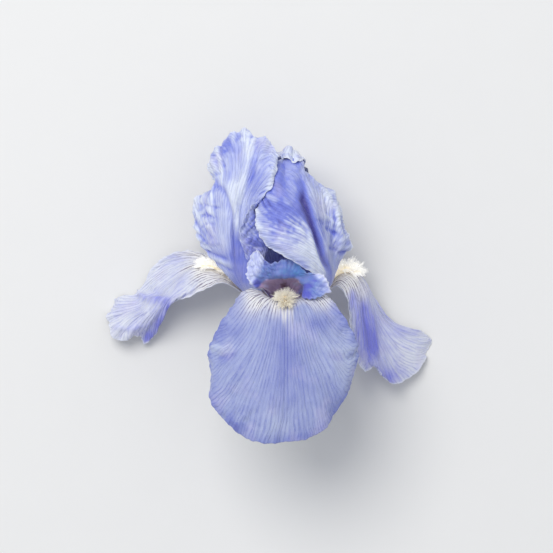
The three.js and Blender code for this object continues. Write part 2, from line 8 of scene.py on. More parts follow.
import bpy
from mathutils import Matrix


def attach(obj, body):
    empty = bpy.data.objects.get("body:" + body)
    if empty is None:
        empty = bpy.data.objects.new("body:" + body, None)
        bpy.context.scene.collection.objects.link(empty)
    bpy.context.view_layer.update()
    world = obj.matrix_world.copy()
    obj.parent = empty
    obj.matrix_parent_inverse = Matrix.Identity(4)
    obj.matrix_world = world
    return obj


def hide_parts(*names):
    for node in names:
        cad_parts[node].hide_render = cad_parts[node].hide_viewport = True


bl_info = {
    "name": "Bearded Iris Flower",
    "version": (1, 0, 0),
    "blender": (4, 5, 0),
    "location": "View3D > Sidebar > Iris",
    "description": "Builds a picked bearded iris flower round its packed frame",
    "category": "Add Mesh",
}

import bpy
import numpy as np
from bpy.props import FloatProperty, FloatVectorProperty, IntProperty, PointerProperty

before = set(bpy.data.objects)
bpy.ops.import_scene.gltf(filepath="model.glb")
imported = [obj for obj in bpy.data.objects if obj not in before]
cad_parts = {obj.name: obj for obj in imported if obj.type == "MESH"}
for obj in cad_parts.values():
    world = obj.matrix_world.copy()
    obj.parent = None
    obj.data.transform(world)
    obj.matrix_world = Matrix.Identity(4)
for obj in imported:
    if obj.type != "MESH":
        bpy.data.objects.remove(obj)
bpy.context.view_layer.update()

BODY = "root"
MM = 0.001
# The flower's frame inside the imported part's frame, in millimetres.
SHIFT = np.array([6.86, -7.63, 30.0])
FLOOR_Z = -30.0
FLOOR_GAP = 0.02
HAIR_FLOOR_GAP = 0.05
THROAT_Y = -8.0
THROAT_RADIUS = 6.6
CLAW_HALF_ANGLE = 23.0
CAD_THICKNESS = 0.8
CLEARANCE = 0.3
SEAT = CAD_THICKNESS / 2 + CLEARANCE
STYLE_FOOT_Y = THROAT_Y - CAD_THICKNESS / 2
# A slanting direction. The rings of tubes and hairs start square to it.
ASKEW = np.array([0.31, 0.22, 0.92])
# The straight veins down the front fall: their middle in X, how far to each side they reach, and the step
# from one to the next.
STRAIGHT_X = 0.5
STRAIGHT_REACH = 3.6
STRAIGHT_STEP = 1.5

# ---------------------------------------------------------------------------------------------
# Surfaces


def smooth(x, low, high):
    """0 below low, 1 above high, and a smooth step between them."""
    x = np.clip((x - low) / (high - low), 0, 1)
    return x * x * (3 - 2 * x)


def between(side, low=-1.2, high=1.2):
    """1 for the part of a petal between two sides, with soft borders. Without them, the whole petal."""
    return smooth(side, low - 0.1, low + 0.1) * (1 - smooth(side, high - 0.1, high + 0.1))


def spot(x, y, cx, cy, rx, ry):
    """A soft spot: 1 at its middle, falling as a bell curve over its two radii."""
    return np.exp(-(((x - cx) / rx) ** 2) - ((y - cy) / ry) ** 2)


def spots(x, y, given):
    """Soft spots added up. Each is given as x, y, two radii and an amount."""
    return sum((amount * spot(x, y, *place) for *place, amount in given), 0 * x)


def waves(place, length, stray):
    """A wave with a crest at each length along the margin, moved to and fro by stray."""
    return np.sin(place * 2 * np.pi / length + stray)


def uneven_waves(place, length, seed):
    """Waves along the margin that are moved to and fro by noise."""
    return waves(place, length, 2 * soft_noise(place / 5, 0 * place, seed))


def spline_weights(count, share):
    """The weight of each of count points, in a Catmull-Rom curve through them, at each share from 0 to 1.
    The curve runs straight on past its two ends."""
    share = np.asarray(share, dtype=float)
    spans = count - 1
    place = np.clip(share, 0, 1) * spans
    span = np.minimum(place.astype(int), spans - 1)
    f = place - span
    four = (
        ((2 - f) * f - 1) * f / 2,
        ((3 * f - 5) * f * f + 2) / 2,
        ((4 - 3 * f) * f + 1) * f / 2,
        (f - 1) * f * f / 2,
    )
    weights = np.zeros((len(share), count + 2))
    rows = np.arange(len(share))
    for k, weight in enumerate(four):
        weights[rows, span + k] += weight
    weights[:, 1] += 2 * weights[:, 0]
    weights[:, 2] -= weights[:, 0]
    weights[:, -2] += 2 * weights[:, -1]
    weights[:, -3] -= weights[:, -1]
    return weights[:, 1:-1]


def on_net(net, s, t, pairs=False):
    """Points of a net's surface: splines through its rows and columns. They are at every s, across,
    combined with every t, along, and indexed by t, then s. With pairs, they are at each s with its t."""
    pattern = "nr,rck,nc->nk" if pairs else "vr,rck,uc->vuk"
    return np.einsum(pattern, spline_weights(net.shape[0], t), net, spline_weights(net.shape[1], s))


def unit(vectors):
    """The vectors at length 1."""
    return vectors / np.maximum(np.linalg.norm(vectors, axis=-1, keepdims=True), 1e-9)


def normals_of(points):
    """The surface normal at each point of a grid: the cross product of its two neighbours' differences."""
    return unit(np.cross(np.gradient(points, axis=1), np.gradient(points, axis=0)))


def outward(points, side, length, side_power, rim_power):
    """The way out of a blade at each point of its grid: across it at its sides and along it at its rim,
    each by a power of how far out the point is."""
    across = unit(np.gradient(points, axis=1)) * (np.sign(side) * np.abs(side) ** side_power)[..., None]
    return across + unit(np.gradient(points, axis=0)) * (length**rim_power)[..., None]


def frilled(net, s, t, height, count, phase):
    """A net's surface, bent to and fro along its normal: two mixed waves that run round the margin, and
    grow from nothing in the middle of the blade to their height at the margin."""
    net = np.array(net, dtype=float)
    step = 0.01
    across = on_net(net, np.minimum(s + step, 1), t) - on_net(net, np.maximum(s - step, 0), t)
    along = on_net(net, s, np.minimum(t + step, 1)) - on_net(net, s, np.maximum(t - step, 0))
    side, length = np.meshgrid(2 * s - 1, t)
    margin = 1 - (1 - np.abs(side) ** 3) * (1 - length**4)
    turn = np.pi * count * side * (1.8 - 0.8 * length)
    wave = 0.65 * np.sin(turn + phase) + 0.35 * np.sin(1.7 * turn + 2.3 * phase)
    lift = height * margin * smooth(length, 0.2, 0.6) * wave
    return on_net(net, s, t) + unit(np.cross(across, along)) * lift[..., None]


def soft_noise(x, y, seed):
    """Value noise from -1 to 1: random numbers on a lattice of whole numbers, joined by smooth steps."""
    size = 64
    lattice = np.random.default_rng(seed).uniform(-1, 1, (size, size))
    column, row = np.floor(x).astype(int), np.floor(y).astype(int)
    fx, fy = smooth(x - column, 0, 1), smooth(y - row, 0, 1)

    def corner(a, b):
        return lattice[(column + a) % size, (row + b) % size]

    near = corner(0, 0) * (1 - fx) + corner(1, 0) * fx
    far = corner(0, 1) * (1 - fx) + corner(1, 1) * fx
    return near * (1 - fy) + far * fy


def margin_of(points, s, t):
    """How far each point of a petal's grid is from its margin, and the place on the margin that it
    faces, both in millimetres. Distances are summed along the grid lines, the shorter way out. The
    place is where a ray from the petal's heart through the point leaves the square of s and t."""
    steps = np.linalg.norm(np.diff(points, axis=1), axis=2)
    from_left = np.concatenate([np.zeros((len(t), 1)), np.cumsum(steps, axis=1)], axis=1)
    to_side = np.minimum(from_left, from_left[:, -1:] - from_left)
    steps = np.linalg.norm(np.diff(points, axis=0), axis=2)
    from_foot = np.concatenate([np.zeros((1, len(s))), np.cumsum(steps, axis=0)], axis=0)
    to_rim = from_foot[-1:] - from_foot
    # The shorter of the two, rounded off where they are alike, as at a corner.
    distance = (np.maximum(to_side, 1e-6) ** -4 + np.maximum(to_rim, 1e-6) ** -4) ** -0.25

    heart = 0.35
    side, rise = np.meshgrid(2 * s - 1, t - heart)
    reach = np.minimum(
        1 / np.maximum(np.abs(side), 1e-6),
        np.where(rise > 0, 1 - heart, heart) / np.maximum(np.abs(rise), 1e-6),
    )
    side, rise = side * reach, rise * reach
    left = np.interp(heart + rise, t, from_foot[:, 0])
    right = np.interp(heart + rise, t, from_foot[:, -1])
    rim = np.interp(side, 2 * s - 1, from_left[-1])
    whole_left, whole_rim, whole_right = from_foot[-1, 0], from_left[-1, -1], from_foot[-1, -1]
    round_right = whole_left + whole_rim + whole_right - right
    place = np.where(side < 0, left, round_right)
    return distance, np.where(heart + rise > 0.999, whole_left + rim, place)


# ---------------------------------------------------------------------------------------------
# Forms: plain arrays of points and faces, with a place on the petal (uv) and named values at each point


class Form:
    """Points in millimetres, four-sided and three-sided faces, uv and values at the points."""

    def __init__(self, points, quads, uv, tris=None, values=None):
        self.points = np.asarray(points, dtype=float).reshape(-1, 3)
        self.quads = quads
        self.uv = uv
        self.tris = np.zeros((0, 3), int) if tris is None else tris
        self.values = values or {}


def joined(forms):
    """Several forms as one. A value that a form doesn't have is 0 there."""
    names = sorted({name for form in forms for name in form.values})
    starts = np.cumsum([0] + [len(form.points) for form in forms])

    def value(name):
        return np.concatenate([form.values.get(name, np.zeros(len(form.points))) for form in forms])

    return Form(
        np.concatenate([form.points for form in forms]),
        np.concatenate([form.quads + start for form, start in zip(forms, starts)]),
        np.concatenate([form.uv for form in forms]),
        np.concatenate([form.tris + start for form, start in zip(forms, starts)]),
        {name: value(name) for name in names},
    )


def grid_quads(rows, columns):
    """The four-sided faces of a grid of points."""
    first = (np.arange(rows - 1)[:, None] * columns + np.arange(columns - 1)[None, :]).ravel()
    return np.stack([first, first + 1, first + columns + 1, first + columns], axis=1)


def ring_quads(rings, sides):
    """The four-sided faces between rings of points, each ring closed on itself."""
    i = np.arange(sides)
    start = (np.arange(rings - 1) * sides)[:, None]
    a, b = start + i, start + (i + 1) % sides
    return np.stack([a, b, b + sides, a + sides], axis=2).reshape(-1, 4)


def closed_rings(rings, first, last, uv, values=None, flip=False):
    """A body of rings of points, joined one to the next and closed to a point at each end. Its faces are
    turned over by flip, where the rings run the other way round."""
    count, sides = rings.shape[:2]
    i = np.arange(sides)
    j = (i + 1) % sides
    end = (count - 1) * sides
    tris = [(np.full(sides, count * sides), j, i), (np.full(sides, count * sides + 1), end + i, end + j)]
    tris = np.concatenate([np.stack(fan, axis=1) for fan in tris])
    quads = ring_quads(count, sides)
    if flip:
        quads, tris = quads[:, ::-1], tris[:, ::-1]
    return Form(np.concatenate([rings.reshape(-1, 3), [first, last]]), quads, uv, tris, values)


def blade(points, thickness, s, t, values):
    """A closed blade round a grid: each face lies half the thickness off it along the normal, and a strip
    joins them round the margin. Where it would reach below the floor, both faces are lifted alike."""
    rows, columns = points.shape[:2]
    off = normals_of(points) * (thickness / 2)[..., None]
    over, under = points + off, points - off
    lift = np.maximum(FLOOR_Z + FLOOR_GAP - np.minimum(over[..., 2], under[..., 2]), 0)
    over[..., 2] += lift
    under[..., 2] += lift
    count = rows * columns
    index = np.arange(count).reshape(rows, columns)
    top = grid_quads(rows, columns)
    border = np.concatenate([index[0, :], index[1:, -1], index[-1, -2::-1], index[-2:0:-1, 0]])
    after = np.roll(border, -1)
    wall = np.stack([border, border + count, after + count, after], axis=1)
    place = np.stack(np.meshgrid(s, t), axis=2).reshape(-1, 2)
    return Form(
        np.concatenate([over.reshape(-1, 3), under.reshape(-1, 3)]),
        np.concatenate([top, top[:, ::-1] + count, wall]),
        np.concatenate([place, place]),
        values={name: np.tile(value.ravel(), 2) for name, value in values.items()},
    )


def rings_round(path, radius, sides):
    """Rings of sides points round each path, square to it, at the radius at each of its points. Several
    paths may be stacked in front."""
    line = unit(np.gradient(path, axis=-2))
    x = unit(np.cross(line, ASKEW))
    y = np.cross(line, x)
    angle = 2 * np.pi * np.arange(sides) / sides
    ring = np.cos(angle)[:, None] * x[..., None, :] + np.sin(angle)[:, None] * y[..., None, :]
    return path[..., None, :] + ring * radius[:, None, None]


def tube(path, radius, sides, **values):
    """A closed tube: rings of sides points round the path, at its radius there, and a point at each end.
    Its values are the same all over."""
    share = np.concatenate([np.repeat(np.linspace(0, 1, len(path)), sides), [0, 1]])
    values = {name: np.full(len(share), float(value)) for name, value in values.items()}
    uv = np.stack([0 * share, share], axis=1)
    return closed_rings(rings_round(path, radius, sides), path[0], path[-1], uv, values)


def piece(name, form, material, node):
    """A Blender object for a form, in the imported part's frame, in place of a node."""
    mesh = bpy.data.meshes.new(name)
    points = ((form.points + SHIFT) * MM).astype(np.float32)
    corners = np.concatenate([form.quads.ravel(), form.tris.ravel()]).astype(np.int32)
    sizes = np.repeat([4, 3], [len(form.quads), len(form.tris)])
    mesh.vertices.add(len(points))
    mesh.vertices.foreach_set("co", points.ravel())
    mesh.loops.add(len(corners))
    mesh.loops.foreach_set("vertex_index", corners)
    mesh.polygons.add(len(sizes))
    mesh.polygons.foreach_set("loop_start", (np.cumsum(sizes) - sizes).astype(np.int32))
    mesh.polygons.foreach_set("use_smooth", np.ones(len(sizes), dtype=bool))
    layer = mesh.uv_layers.new(name="petal")
    layer.data.foreach_set("uv", form.uv[corners].astype(np.float32).ravel())
    for value_name, value in form.values.items():
        layer = mesh.attributes.new(value_name, "FLOAT", "POINT")
        layer.data.foreach_set("value", value.astype(np.float32))
    mesh.update(calc_edges=True)
    mesh.validate()
    mesh.materials.append(material)
    obj = bpy.data.objects.new(name, mesh)
    bpy.context.collection.objects.link(obj)
    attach(obj, BODY)
    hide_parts(node)
    return obj


# ---------------------------------------------------------------------------------------------
# Materials


def linear(color):
    """A colour given as on a screen, 0 to 255, turned to linear light, with alpha 1."""
    c = np.asarray(color, dtype=float) / 255
    c = np.where(c <= 0.04045, c / 12.92, ((c + 0.055) / 1.055) ** 2.4)
    return (*c, 1.0)


class Signal:
    """A number that a node gives. Signals are added, subtracted and multiplied, also with plain numbers,
    and each such step is a math node."""

    def __init__(self, skin, socket):
        self.skin = skin
        self.socket = socket

    def __add__(self, other):
        return self.skin.math("ADD", self, other)

    def __sub__(self, other):
        return self.skin.math("SUBTRACT", self, other)

    def __rsub__(self, other):
        return self.skin.math("SUBTRACT", other, self)

    def __mul__(self, other):
        return self.skin.math("MULTIPLY", self, other)


class Finish:
    """A material, with short calls that add a node and join it to signals, sockets or plain numbers."""

    def __init__(self, name, roughness=0.5, specular=0.35, sheen=0.0, subsurface=0.0):
        self.material = bpy.data.materials.new(name)
        self.material.use_nodes = True
        self.tree = self.material.node_tree
        self.shader = self.tree.nodes["Principled BSDF"]
        settings = {
            "Roughness": roughness,
            "Specular IOR Level": specular,
            "Sheen Weight": sheen,
            "Sheen Roughness": 0.4,
            "Subsurface Weight": subsurface,
            "Subsurface Radius": (0.7, 0.75, 1.0),
            "Subsurface Scale": 0.0016,
        }
        for socket, value in settings.items():
            self.shader.inputs[socket].default_value = value

    def put(self, socket, value):
        """Joins a socket to another or to a signal, or sets its number or colour."""
        if isinstance(value, Signal):
            value = value.socket
        if isinstance(value, bpy.types.NodeSocket):
            self.tree.links.new(value, socket)
        else:
            socket.default_value = value

    def add(self, kind, inputs=(), **settings):
        """A node of a kind with its settings. inputs pairs a socket's name or number with a value."""
        node = self.tree.nodes.new(kind)
        for key, value in settings.items():
            setattr(node, key, value)
        for key, value in dict(inputs).items():
            self.put(node.inputs[key], value)
        return node

    def math(self, operation, a, b=0.0, clamp=False):
        node = self.add("ShaderNodeMath", {0: a, 1: b}, operation=operation, use_clamp=clamp)
        return Signal(self, node.outputs[0])

    def step(self, value, low, high, to_low=0.0, to_high=1.0):
        """A smooth step of a value, from to_low at low to to_high at high."""
        ends = {"Value": value, "From Min": low, "From Max": high, "To Min": to_low, "To Max": to_high}
        node = self.add("ShaderNodeMapRange", ends, interpolation_type="SMOOTHSTEP")
        return Signal(self, node.outputs[0])

    def value(self, name):
        """A value that the mesh carries at its points."""
        return Signal(self, self.add("ShaderNodeAttribute", attribute_name=name).outputs["Fac"])

    def place(self):
        """The mesh's own uv: s across the petal and t along it."""
        uv = self.add("ShaderNodeUVMap", uv_map="petal").outputs[0]
        parts = self.add("ShaderNodeSeparateXYZ", {0: uv}).outputs
        return Signal(self, parts[0]), Signal(self, parts[1])

    def point(self, x, y):
        """The point at x and y, to read noise at."""
        return self.add("ShaderNodeCombineXYZ", {0: x, 1: y}).outputs[0]

    def noise(self, scale, detail=2.0, roughness=0.5, vector=None):
        """Noise round 0.5, on Object coordinates unless a vector is given."""
        if vector is None:
            vector = self.add("ShaderNodeTexCoord").outputs["Object"]
        inputs = {"Vector": vector, "Scale": scale, "Detail": detail, "Roughness": roughness}
        return Signal(self, self.add("ShaderNodeTexNoise", inputs).outputs["Fac"])

    def stretched(self, x, x_scale, y, y_scale, detail=3.0, roughness=0.6):
        """Noise that is x_scale times as fine as x and y_scale times as fine as y."""
        return self.noise(1.0, detail, roughness, self.point(x * x_scale, y * y_scale))

    def nearest(self, value):
        """How far a value is from the nearest whole number."""
        return self.math("ABSOLUTE", self.math("FRACT", value + 0.5) - 0.5)

    def drawn(self, away, width):
        """A line: 1 where away is 0, falling smoothly to 0 at its width, a number or a signal."""
        return self.step(away, width * 0.2, width, 1.0, 0.0)

    def mix(self, share, a, b):
        node = self.add("ShaderNodeMix", data_type="RGBA")
        for number, value in ((0, share), (6, a), (7, b)):
            self.put(node.inputs[number], value)
        return node.outputs[2]

    def finish(self, color, roughness=None, relief=None, depth=0.0001):
        """Joins the colour, and the roughness and relief if given, to the shader."""
        self.put(self.shader.inputs["Base Color"], color)
        if roughness is not None:
            self.put(self.shader.inputs["Roughness"], roughness)
        if relief is not None:
            bump = self.add("ShaderNodeBump", {"Height": relief, "Distance": depth, "Strength": 1.0})
            self.put(self.shader.inputs["Normal"], bump.outputs[0])
        return self.material


def petal_finish(name, colors, dark, haft_dark):
    """A petal's skin. The ground goes from a pale to a deep tint with the mesh's tint-and-shade value, and
    is streaked along the veins, with a warm blush in places. Where that value passes 1.1, the ground
    darkens further to the inner shade colour: painted shade, deep inside the flower. Veins are lines at
    whole numbers of the lane value. Each parts in two, and later in two again, where the gap between
    them has grown to some millimetres. Where the straight value is high, lines at whole numbers of the
    middle value take their place. The haft is white with dark veins. The margin has a pale edge, a
    painted highlight, and fine specks of that pale colour are painted glints. dark and haft_dark say
    how strong the veins are on the blade and on the haft."""
    skin = Finish(name, specular=0.3, sheen=0.2, subsurface=0.12)
    _, along = skin.place()
    names = ("lane", "gap", "tint", "haft", "rim", "straight", "middle")
    lane, gap, tint, haft, rim, straight, middle = (skin.value(each) for each in names)

    # Fibres, long along the veins and fine across them, and soft clouds all over.
    fibres = skin.stretched(lane, 1.3, along, 7.0)
    silk = skin.stretched(lane, 3.4, along, 16.0)
    drift = skin.stretched(lane, 0.55, along, 5.0, 1.0)
    clouds = skin.noise(120.0, 3.0, 0.55)
    grain = skin.noise(5200.0, 1.0)

    # Veins. The distance to the nearest line is in lanes, it folds where the lines part, and it is
    # turned to millimetres at the end.
    wobble = (drift - 0.5) * 1.1
    away = skin.nearest(lane + wobble)
    for low, high, half in ((1.2, 2.4, 0.25), (3.6, 5.6, 0.125)):
        away = skin.math("ABSOLUTE", away - skin.step(gap, low, high, 0.0, half))
    line = skin.drawn(away * gap, skin.step(haft, 0.1, 0.9, 0.36, 0.24)) * (1.0 - straight)
    long_line = skin.drawn(skin.nearest(middle + wobble * 0.3) * STRAIGHT_STEP, 0.4) * straight

    depth = tint + (clouds - 0.5) * 0.4 + (fibres - 0.5) * 0.48 + (silk - 0.5) * 0.8
    ground = skin.mix(skin.math("MAXIMUM", depth, 0.0, clamp=True), colors["pale"], colors["deep"])
    # Painted shade: past a tint of 1.1 the ground darkens to the inner shade colour, deep inside the
    # flower.
    ground = skin.mix(skin.math("SUBTRACT", tint, 1.1, clamp=True), ground, colors["inner_shade"])
    ground = skin.mix(skin.step(skin.noise(75.0), 0.5, 0.7) * 0.35, ground, colors["blush"])
    ground = skin.mix(haft, ground, colors["haft"])

    broken = skin.step(fibres, 0.34, 0.56, 0.35, 1.0)
    uneven = skin.step(skin.stretched(lane, 1.0, along, 1.5, 1.0), 0.35, 0.62, 0.45, 1.0)
    flecks = skin.step(skin.stretched(lane, 1.5, along, 34.0, 2.0), 0.36, 0.56, 0.3, 1.0)
    strength = line * broken * (uneven * flecks)
    color = skin.mix(strength * dark, ground, colors["vein"])
    color = skin.mix(long_line * 0.6, color, colors["vein"])
    haft_line = skin.math("MULTIPLY", strength, 1.5, clamp=True) * haft * haft_dark
    color = skin.mix(haft_line, color, colors["haft_vein"])
    # Painted highlight: a pale edge along the margin, as strong as the rim value.
    color = skin.mix(skin.step(rim, 0.2, 0.9) * 0.75, color, colors["edge"])
    # Painted glints: fine specks of the pale edge colour.
    color = skin.mix(skin.step(grain, 0.5, 0.75, 0.0, 0.12), color, colors["edge"])

    relief = fibres * 0.8 + silk * 0.9 - line * 0.3 + grain * 0.15
    return skin.finish(color, skin.step(fibres, 0.3, 0.7, 0.42, 0.6), relief, 0.0004)


# ---------------------------------------------------------------------------------------------
# Petals

# How far in from a petal's margin its painted highlight edge, its thinner part and its runs in and out
# reach, and the size of its dents, all in millimetres.
EDGE_WIDTH = 1.3
THIN_WIDTH = 4.0
SCALLOP_WIDTH = 2.2
DENT_SIZE = 7.5
# Painted shade and highlight on a crumple: how much paler its ridges are painted, and deeper its hollows.
CRUMPLE_SHADE = 0.65


def vein_lanes(side, length, look):
    """A value that is the same all along a vein and grows by 1 from each vein to the next: a power of
    the way to the side, which shrinks towards the rim, so that the veins fan out and the outer ones
    leave through the sides."""
    narrowing = (1 - look["spread"] * length) ** look["fan"]
    return np.sign(side) * np.abs(side) ** 0.8 * narrowing * look["lines"]


def crease_field(x, y, side, creases):
    """The lift of creases, and the change of tint along them, which is painted shade in their hollows and
    painted highlight on their ridges. Each runs along a line of points in X and Y, and is as high and as
    wide on its left and on its right as it says, for the part of the petal between two sides. It fades
    at both ends."""
    lift, tint = np.zeros_like(x), np.zeros_like(x)
    for line, left, right, height, crease_shade, *part in creases:
        start, way = np.array(line[:-1], dtype=float), np.diff(np.array(line, dtype=float), axis=0)
        size = np.linalg.norm(way, axis=1)
        px, py = x[..., None] - start[:, 0], y[..., None] - start[:, 1]
        share = np.clip((px * way[:, 0] + py * way[:, 1]) / size**2, 0, 1)
        offset = np.hypot(px - share * way[:, 0], py - share * way[:, 1])
        turn = way[:, 0] * py - way[:, 1] * px
        travelled = (np.cumsum(size) - size + share * size) / size.sum()
        nearest = np.argmin(offset, axis=-1)[..., None]
        offset, turn, travelled = (
            np.take_along_axis(each, nearest, axis=-1)[..., 0] for each in (offset, turn, travelled)
        )
        ends = (0.25 + 0.75 * smooth(travelled, 0, 0.2)) * (1 - 0.75 * smooth(travelled, 0.8, 1))
        width = np.where(turn > 0, left, right)
        here = between(side, *part) * ends * np.exp(-((offset / width) ** 2))
        lift += height * here
        tint += crease_shade * here
    return lift, tint


# Wide and narrow folds at a petal's margin: their share of the ruffle's height, their mean height, their
# length, how far in they reach and how far they stray, and then the step and the row of the noise that
# varies their height, and of the noise that moves them.
FOLDS = (
    (1.0, 0.65, 5.6, 5.5, 2.2, (12, 7), (9, 0)),
    (0.5, 0.5, 2.5, 2.4, 2.5, (6, 11), (4, 3)),
)
# What makes the margin run in and out: shares of noise, and the step and the row of each.
SCALLOPS = ((0.75, 2.6, 21), (0.5, 1.1, 33))


def ruffled(points, s, t, look, sizes):
    """A petal's fine shape, added along its normal: folds that run in from the margin and fade within
    some millimetres, the quilting between its veins, fine crinkles across them, soft dents all over,
    crumples at given spots and creases. The margin itself also runs in and out, along the petal, with
    nicks at given spots. Returns the points, the distance to the margin, the vein lanes and the change
    of tint that the shape brings, which is painted shade and highlight: what stands out is painted
    paler, and what lies deep is painted deeper."""
    normal = normals_of(points)
    rim, place = margin_of(points, s, t)
    side, length = np.meshgrid(2 * s - 1, t)
    grown = smooth(length, 0.18, 0.45)
    lane = vein_lanes(side, length, look)
    seed = look["seed"]

    def size(name):
        """One of the petals' sizes, in millimetres, times this petal's own share of it."""
        return getattr(sizes, name) / MM * look[name]

    def along_margin(step, row):
        """Noise that varies along the margin only."""
        return soft_noise(place / step + 3.7, 0 * place + row, seed)

    lift = 0 * rim
    for share, mean, fold_length, reach, stray, height_noise, place_noise in FOLDS:
        height = mean + 0.5 * along_margin(*height_noise)
        fold = waves(place, fold_length, stray * along_margin(*place_noise))
        lift += share * size("ruffle") * height * np.exp(-rim / reach) * fold
    quilt = 0.5 * np.cos(2 * np.pi * lane) + soft_noise(lane * 1.3, length * 7, seed + 1)
    quilt += 0.5 * np.cos(4 * np.pi * lane) * smooth(length, 0.35, 0.6)
    lift += size("quilting") * quilt
    crinkles = soft_noise(lane * 0.9 + 9, length * 46, seed + 6)
    crinkles = crinkles + soft_noise(lane * 2.1 + 5, length * 70, seed + 7)
    lift += size("crepe") * crinkles
    x, y, z = points[..., 0], points[..., 1], points[..., 2]
    lift += look["dents"] * soft_noise(x / DENT_SIZE + 31.7, (y + z * 0.6) / DENT_SIZE + 17.3, seed + 2)
    # Painted shade and highlight: the hollows of the shape are painted deeper and its ridges paler.
    tint = look["cavity_shade"] * -lift
    for cx, cy, rx, ry, amount, grain, *part in look["crumples"]:
        here = spot(x, y, cx, cy, rx, ry) * between(side, *part)
        rough = soft_noise(side * 7 + 20, place / grain, seed + 3)
        rough = rough + 0.6 * soft_noise(x / grain * 1.8 + 50, y / grain * 1.8 + 40, seed + 4)
        lift += amount * here * rough
        # Painted shade and highlight: the crumple's ridges are painted paler and its hollows deeper.
        tint -= CRUMPLE_SHADE * here * rough
    fold, crease_shade = crease_field(x, y, side, look["creases"])
    points = points + normal * ((lift + fold) * grown)[..., None]

    run = sum(share * along_margin(step, row) for share, step, row in SCALLOPS)
    run = size("scallop") * run * np.exp(-rim / SCALLOP_WIDTH) * grown
    for cx, cy, radius, depth in look["nicks"]:
        run -= depth * spot(x, y, cx, cy, radius, radius) * np.exp(-rim / 3)
    points = points + outward(points, side, length, 3, 6) * run[..., None]
    return points, rim, lane, tint + crease_shade


def petal(look, sizes):
    """A petal: its net's surface, frilled and ruffled, as a thin blade that is thinner at the margin.
    Its tint is a base number with a change near the margin, the painted shade and highlight that
    follow its shape, and soft spots of other tints, some of which are painted shade and light."""
    across, along = look["grid"]
    u = np.linspace(0, 1, across + 1)
    s = u - 0.05 * np.sin(2 * np.pi * u)  # finer towards the margin
    t = np.linspace(0, 1, along + 1) ** 0.9
    points = frilled(look["net"], s, t, *look["frill"])
    width = np.linalg.norm(np.gradient(points, axis=1), axis=2)
    points, rim, lane, tint = ruffled(points, s, t, look, sizes)
    gap = width / np.maximum(np.gradient(lane, axis=1), 0.01)
    x, y = points[..., 0], points[..., 1]
    length = t[:, None] + 0 * x
    at_rim = np.exp(-((rim / look["rim_width"]) ** 1.5)) * smooth(length, 0.3, 0.6)
    tint = tint + look["tint"] + look["rim_tint"] * at_rim + spots(x, y, look["spots"])
    haft = 1 - smooth(length + 0.07 * soft_noise(lane * 0.7 + 20, length * 3, 5), *look["haft"])
    haft = haft + spots(x, y, look["whites"])
    straight = np.exp(-(((x - STRAIGHT_X) / STRAIGHT_REACH) ** 2)) * look["straight"]
    thickness = sizes.thickness / MM * (0.45 + 0.55 * smooth(rim, 0, THIN_WIDTH))
    thickness = thickness + 0.3 * (1 - smooth(length, 0, 0.3))
    left, right = look["edge_highlights"]
    edge = left + (right - left) * smooth(s, 0.3, 0.7)
    values = {
        # The strength of the painted highlight edge near the margin, stronger on the side that the light
        # falls on.
        "rim": (1 - smooth(rim, 0, EDGE_WIDTH)) * edge,
        "lane": lane,
        "gap": np.clip(gap, 0.3, 9),
        "tint": tint,
        "haft": np.clip(haft, 0, 1),
        "straight": straight * (1 - smooth(length, 0.66, 0.84)),
        "middle": (x + 0.5) / STRAIGHT_STEP,
    }
    return blade(points, thickness, s, t, values)


def foot(middle, side):
    """A petal's foot: seven points on the throat's circle round a bearing. Bearing 0 is up, 90 is +X."""
    bearing = np.radians(middle + side * CLAW_HALF_ANGLE * np.linspace(-1, 1, 7))
    ring = [THROAT_RADIUS * np.sin(bearing), np.full(7, THROAT_Y), THROAT_RADIUS * np.cos(bearing)]
    return np.stack(ring, axis=1).tolist()


def mirrored(row):
    """A row with its points on the other side of the flower's middle plane."""
    return [(-x, y, z) for x, y, z in row]


def even(row):
    """A row that is alike on both sides, given by its points from the left side to the middle."""
    return row + mirrored(row[-2::-1])


# Each row of a net is a line across the petal, from its foot to its rim.
FRONT_FALL = [
    foot(0, 1),
    even([(-8, 1.5, 16), (-5.6, -1, 17), (-2.9, -2.4, 17.5), (0, -3, 17.5)]),
    [(-14, 5, 24), (-9.5, 2, 27), (-4.8, 0.2, 29), (0, -0.6, 29.5),
     (4.8, 0.2, 29), (9.5, 1.6, 27), (14.5, 4, 24)],
    [(-19.5, 3.5, 28.5), (-13.5, -1, 33), (-6.6, -4.6, 36.5), (0, -6, 37.5),
     (6.6, -4.6, 36.5), (13.5, -1.5, 33), (19.5, 1.5, 28.5)],
    [(-24.5, -4.5, 32), (-18, -13, 37.5), (-9, -18.5, 41.5), (0, -20.5, 43),
     (9, -18.5, 41.5), (17.5, -13, 37.5), (23.8, -5, 32)],
    [(-29, -11, 33.5), (-24.5, -26, 39.5), (-13, -34, 43), (0, -36.5, 44.5),
     (12, -34, 43), (22, -25.5, 39.5), (28.6, -11.3, 33.5)],
    [(-32.5, -19, 34), (-30, -37, 38.5), (-17, -48, 42), (-1, -51, 43.5),
     (14, -48, 42), (24.5, -37, 38.5), (31.5, -17.5, 34)],
    [(-34, -26, 33), (-31.5, -46, 36.5), (-18.5, -59.5, 40), (-3, -62.5, 41.5),
     (14, -58.5, 40), (24.5, -46, 36), (33, -24, 31)],
]

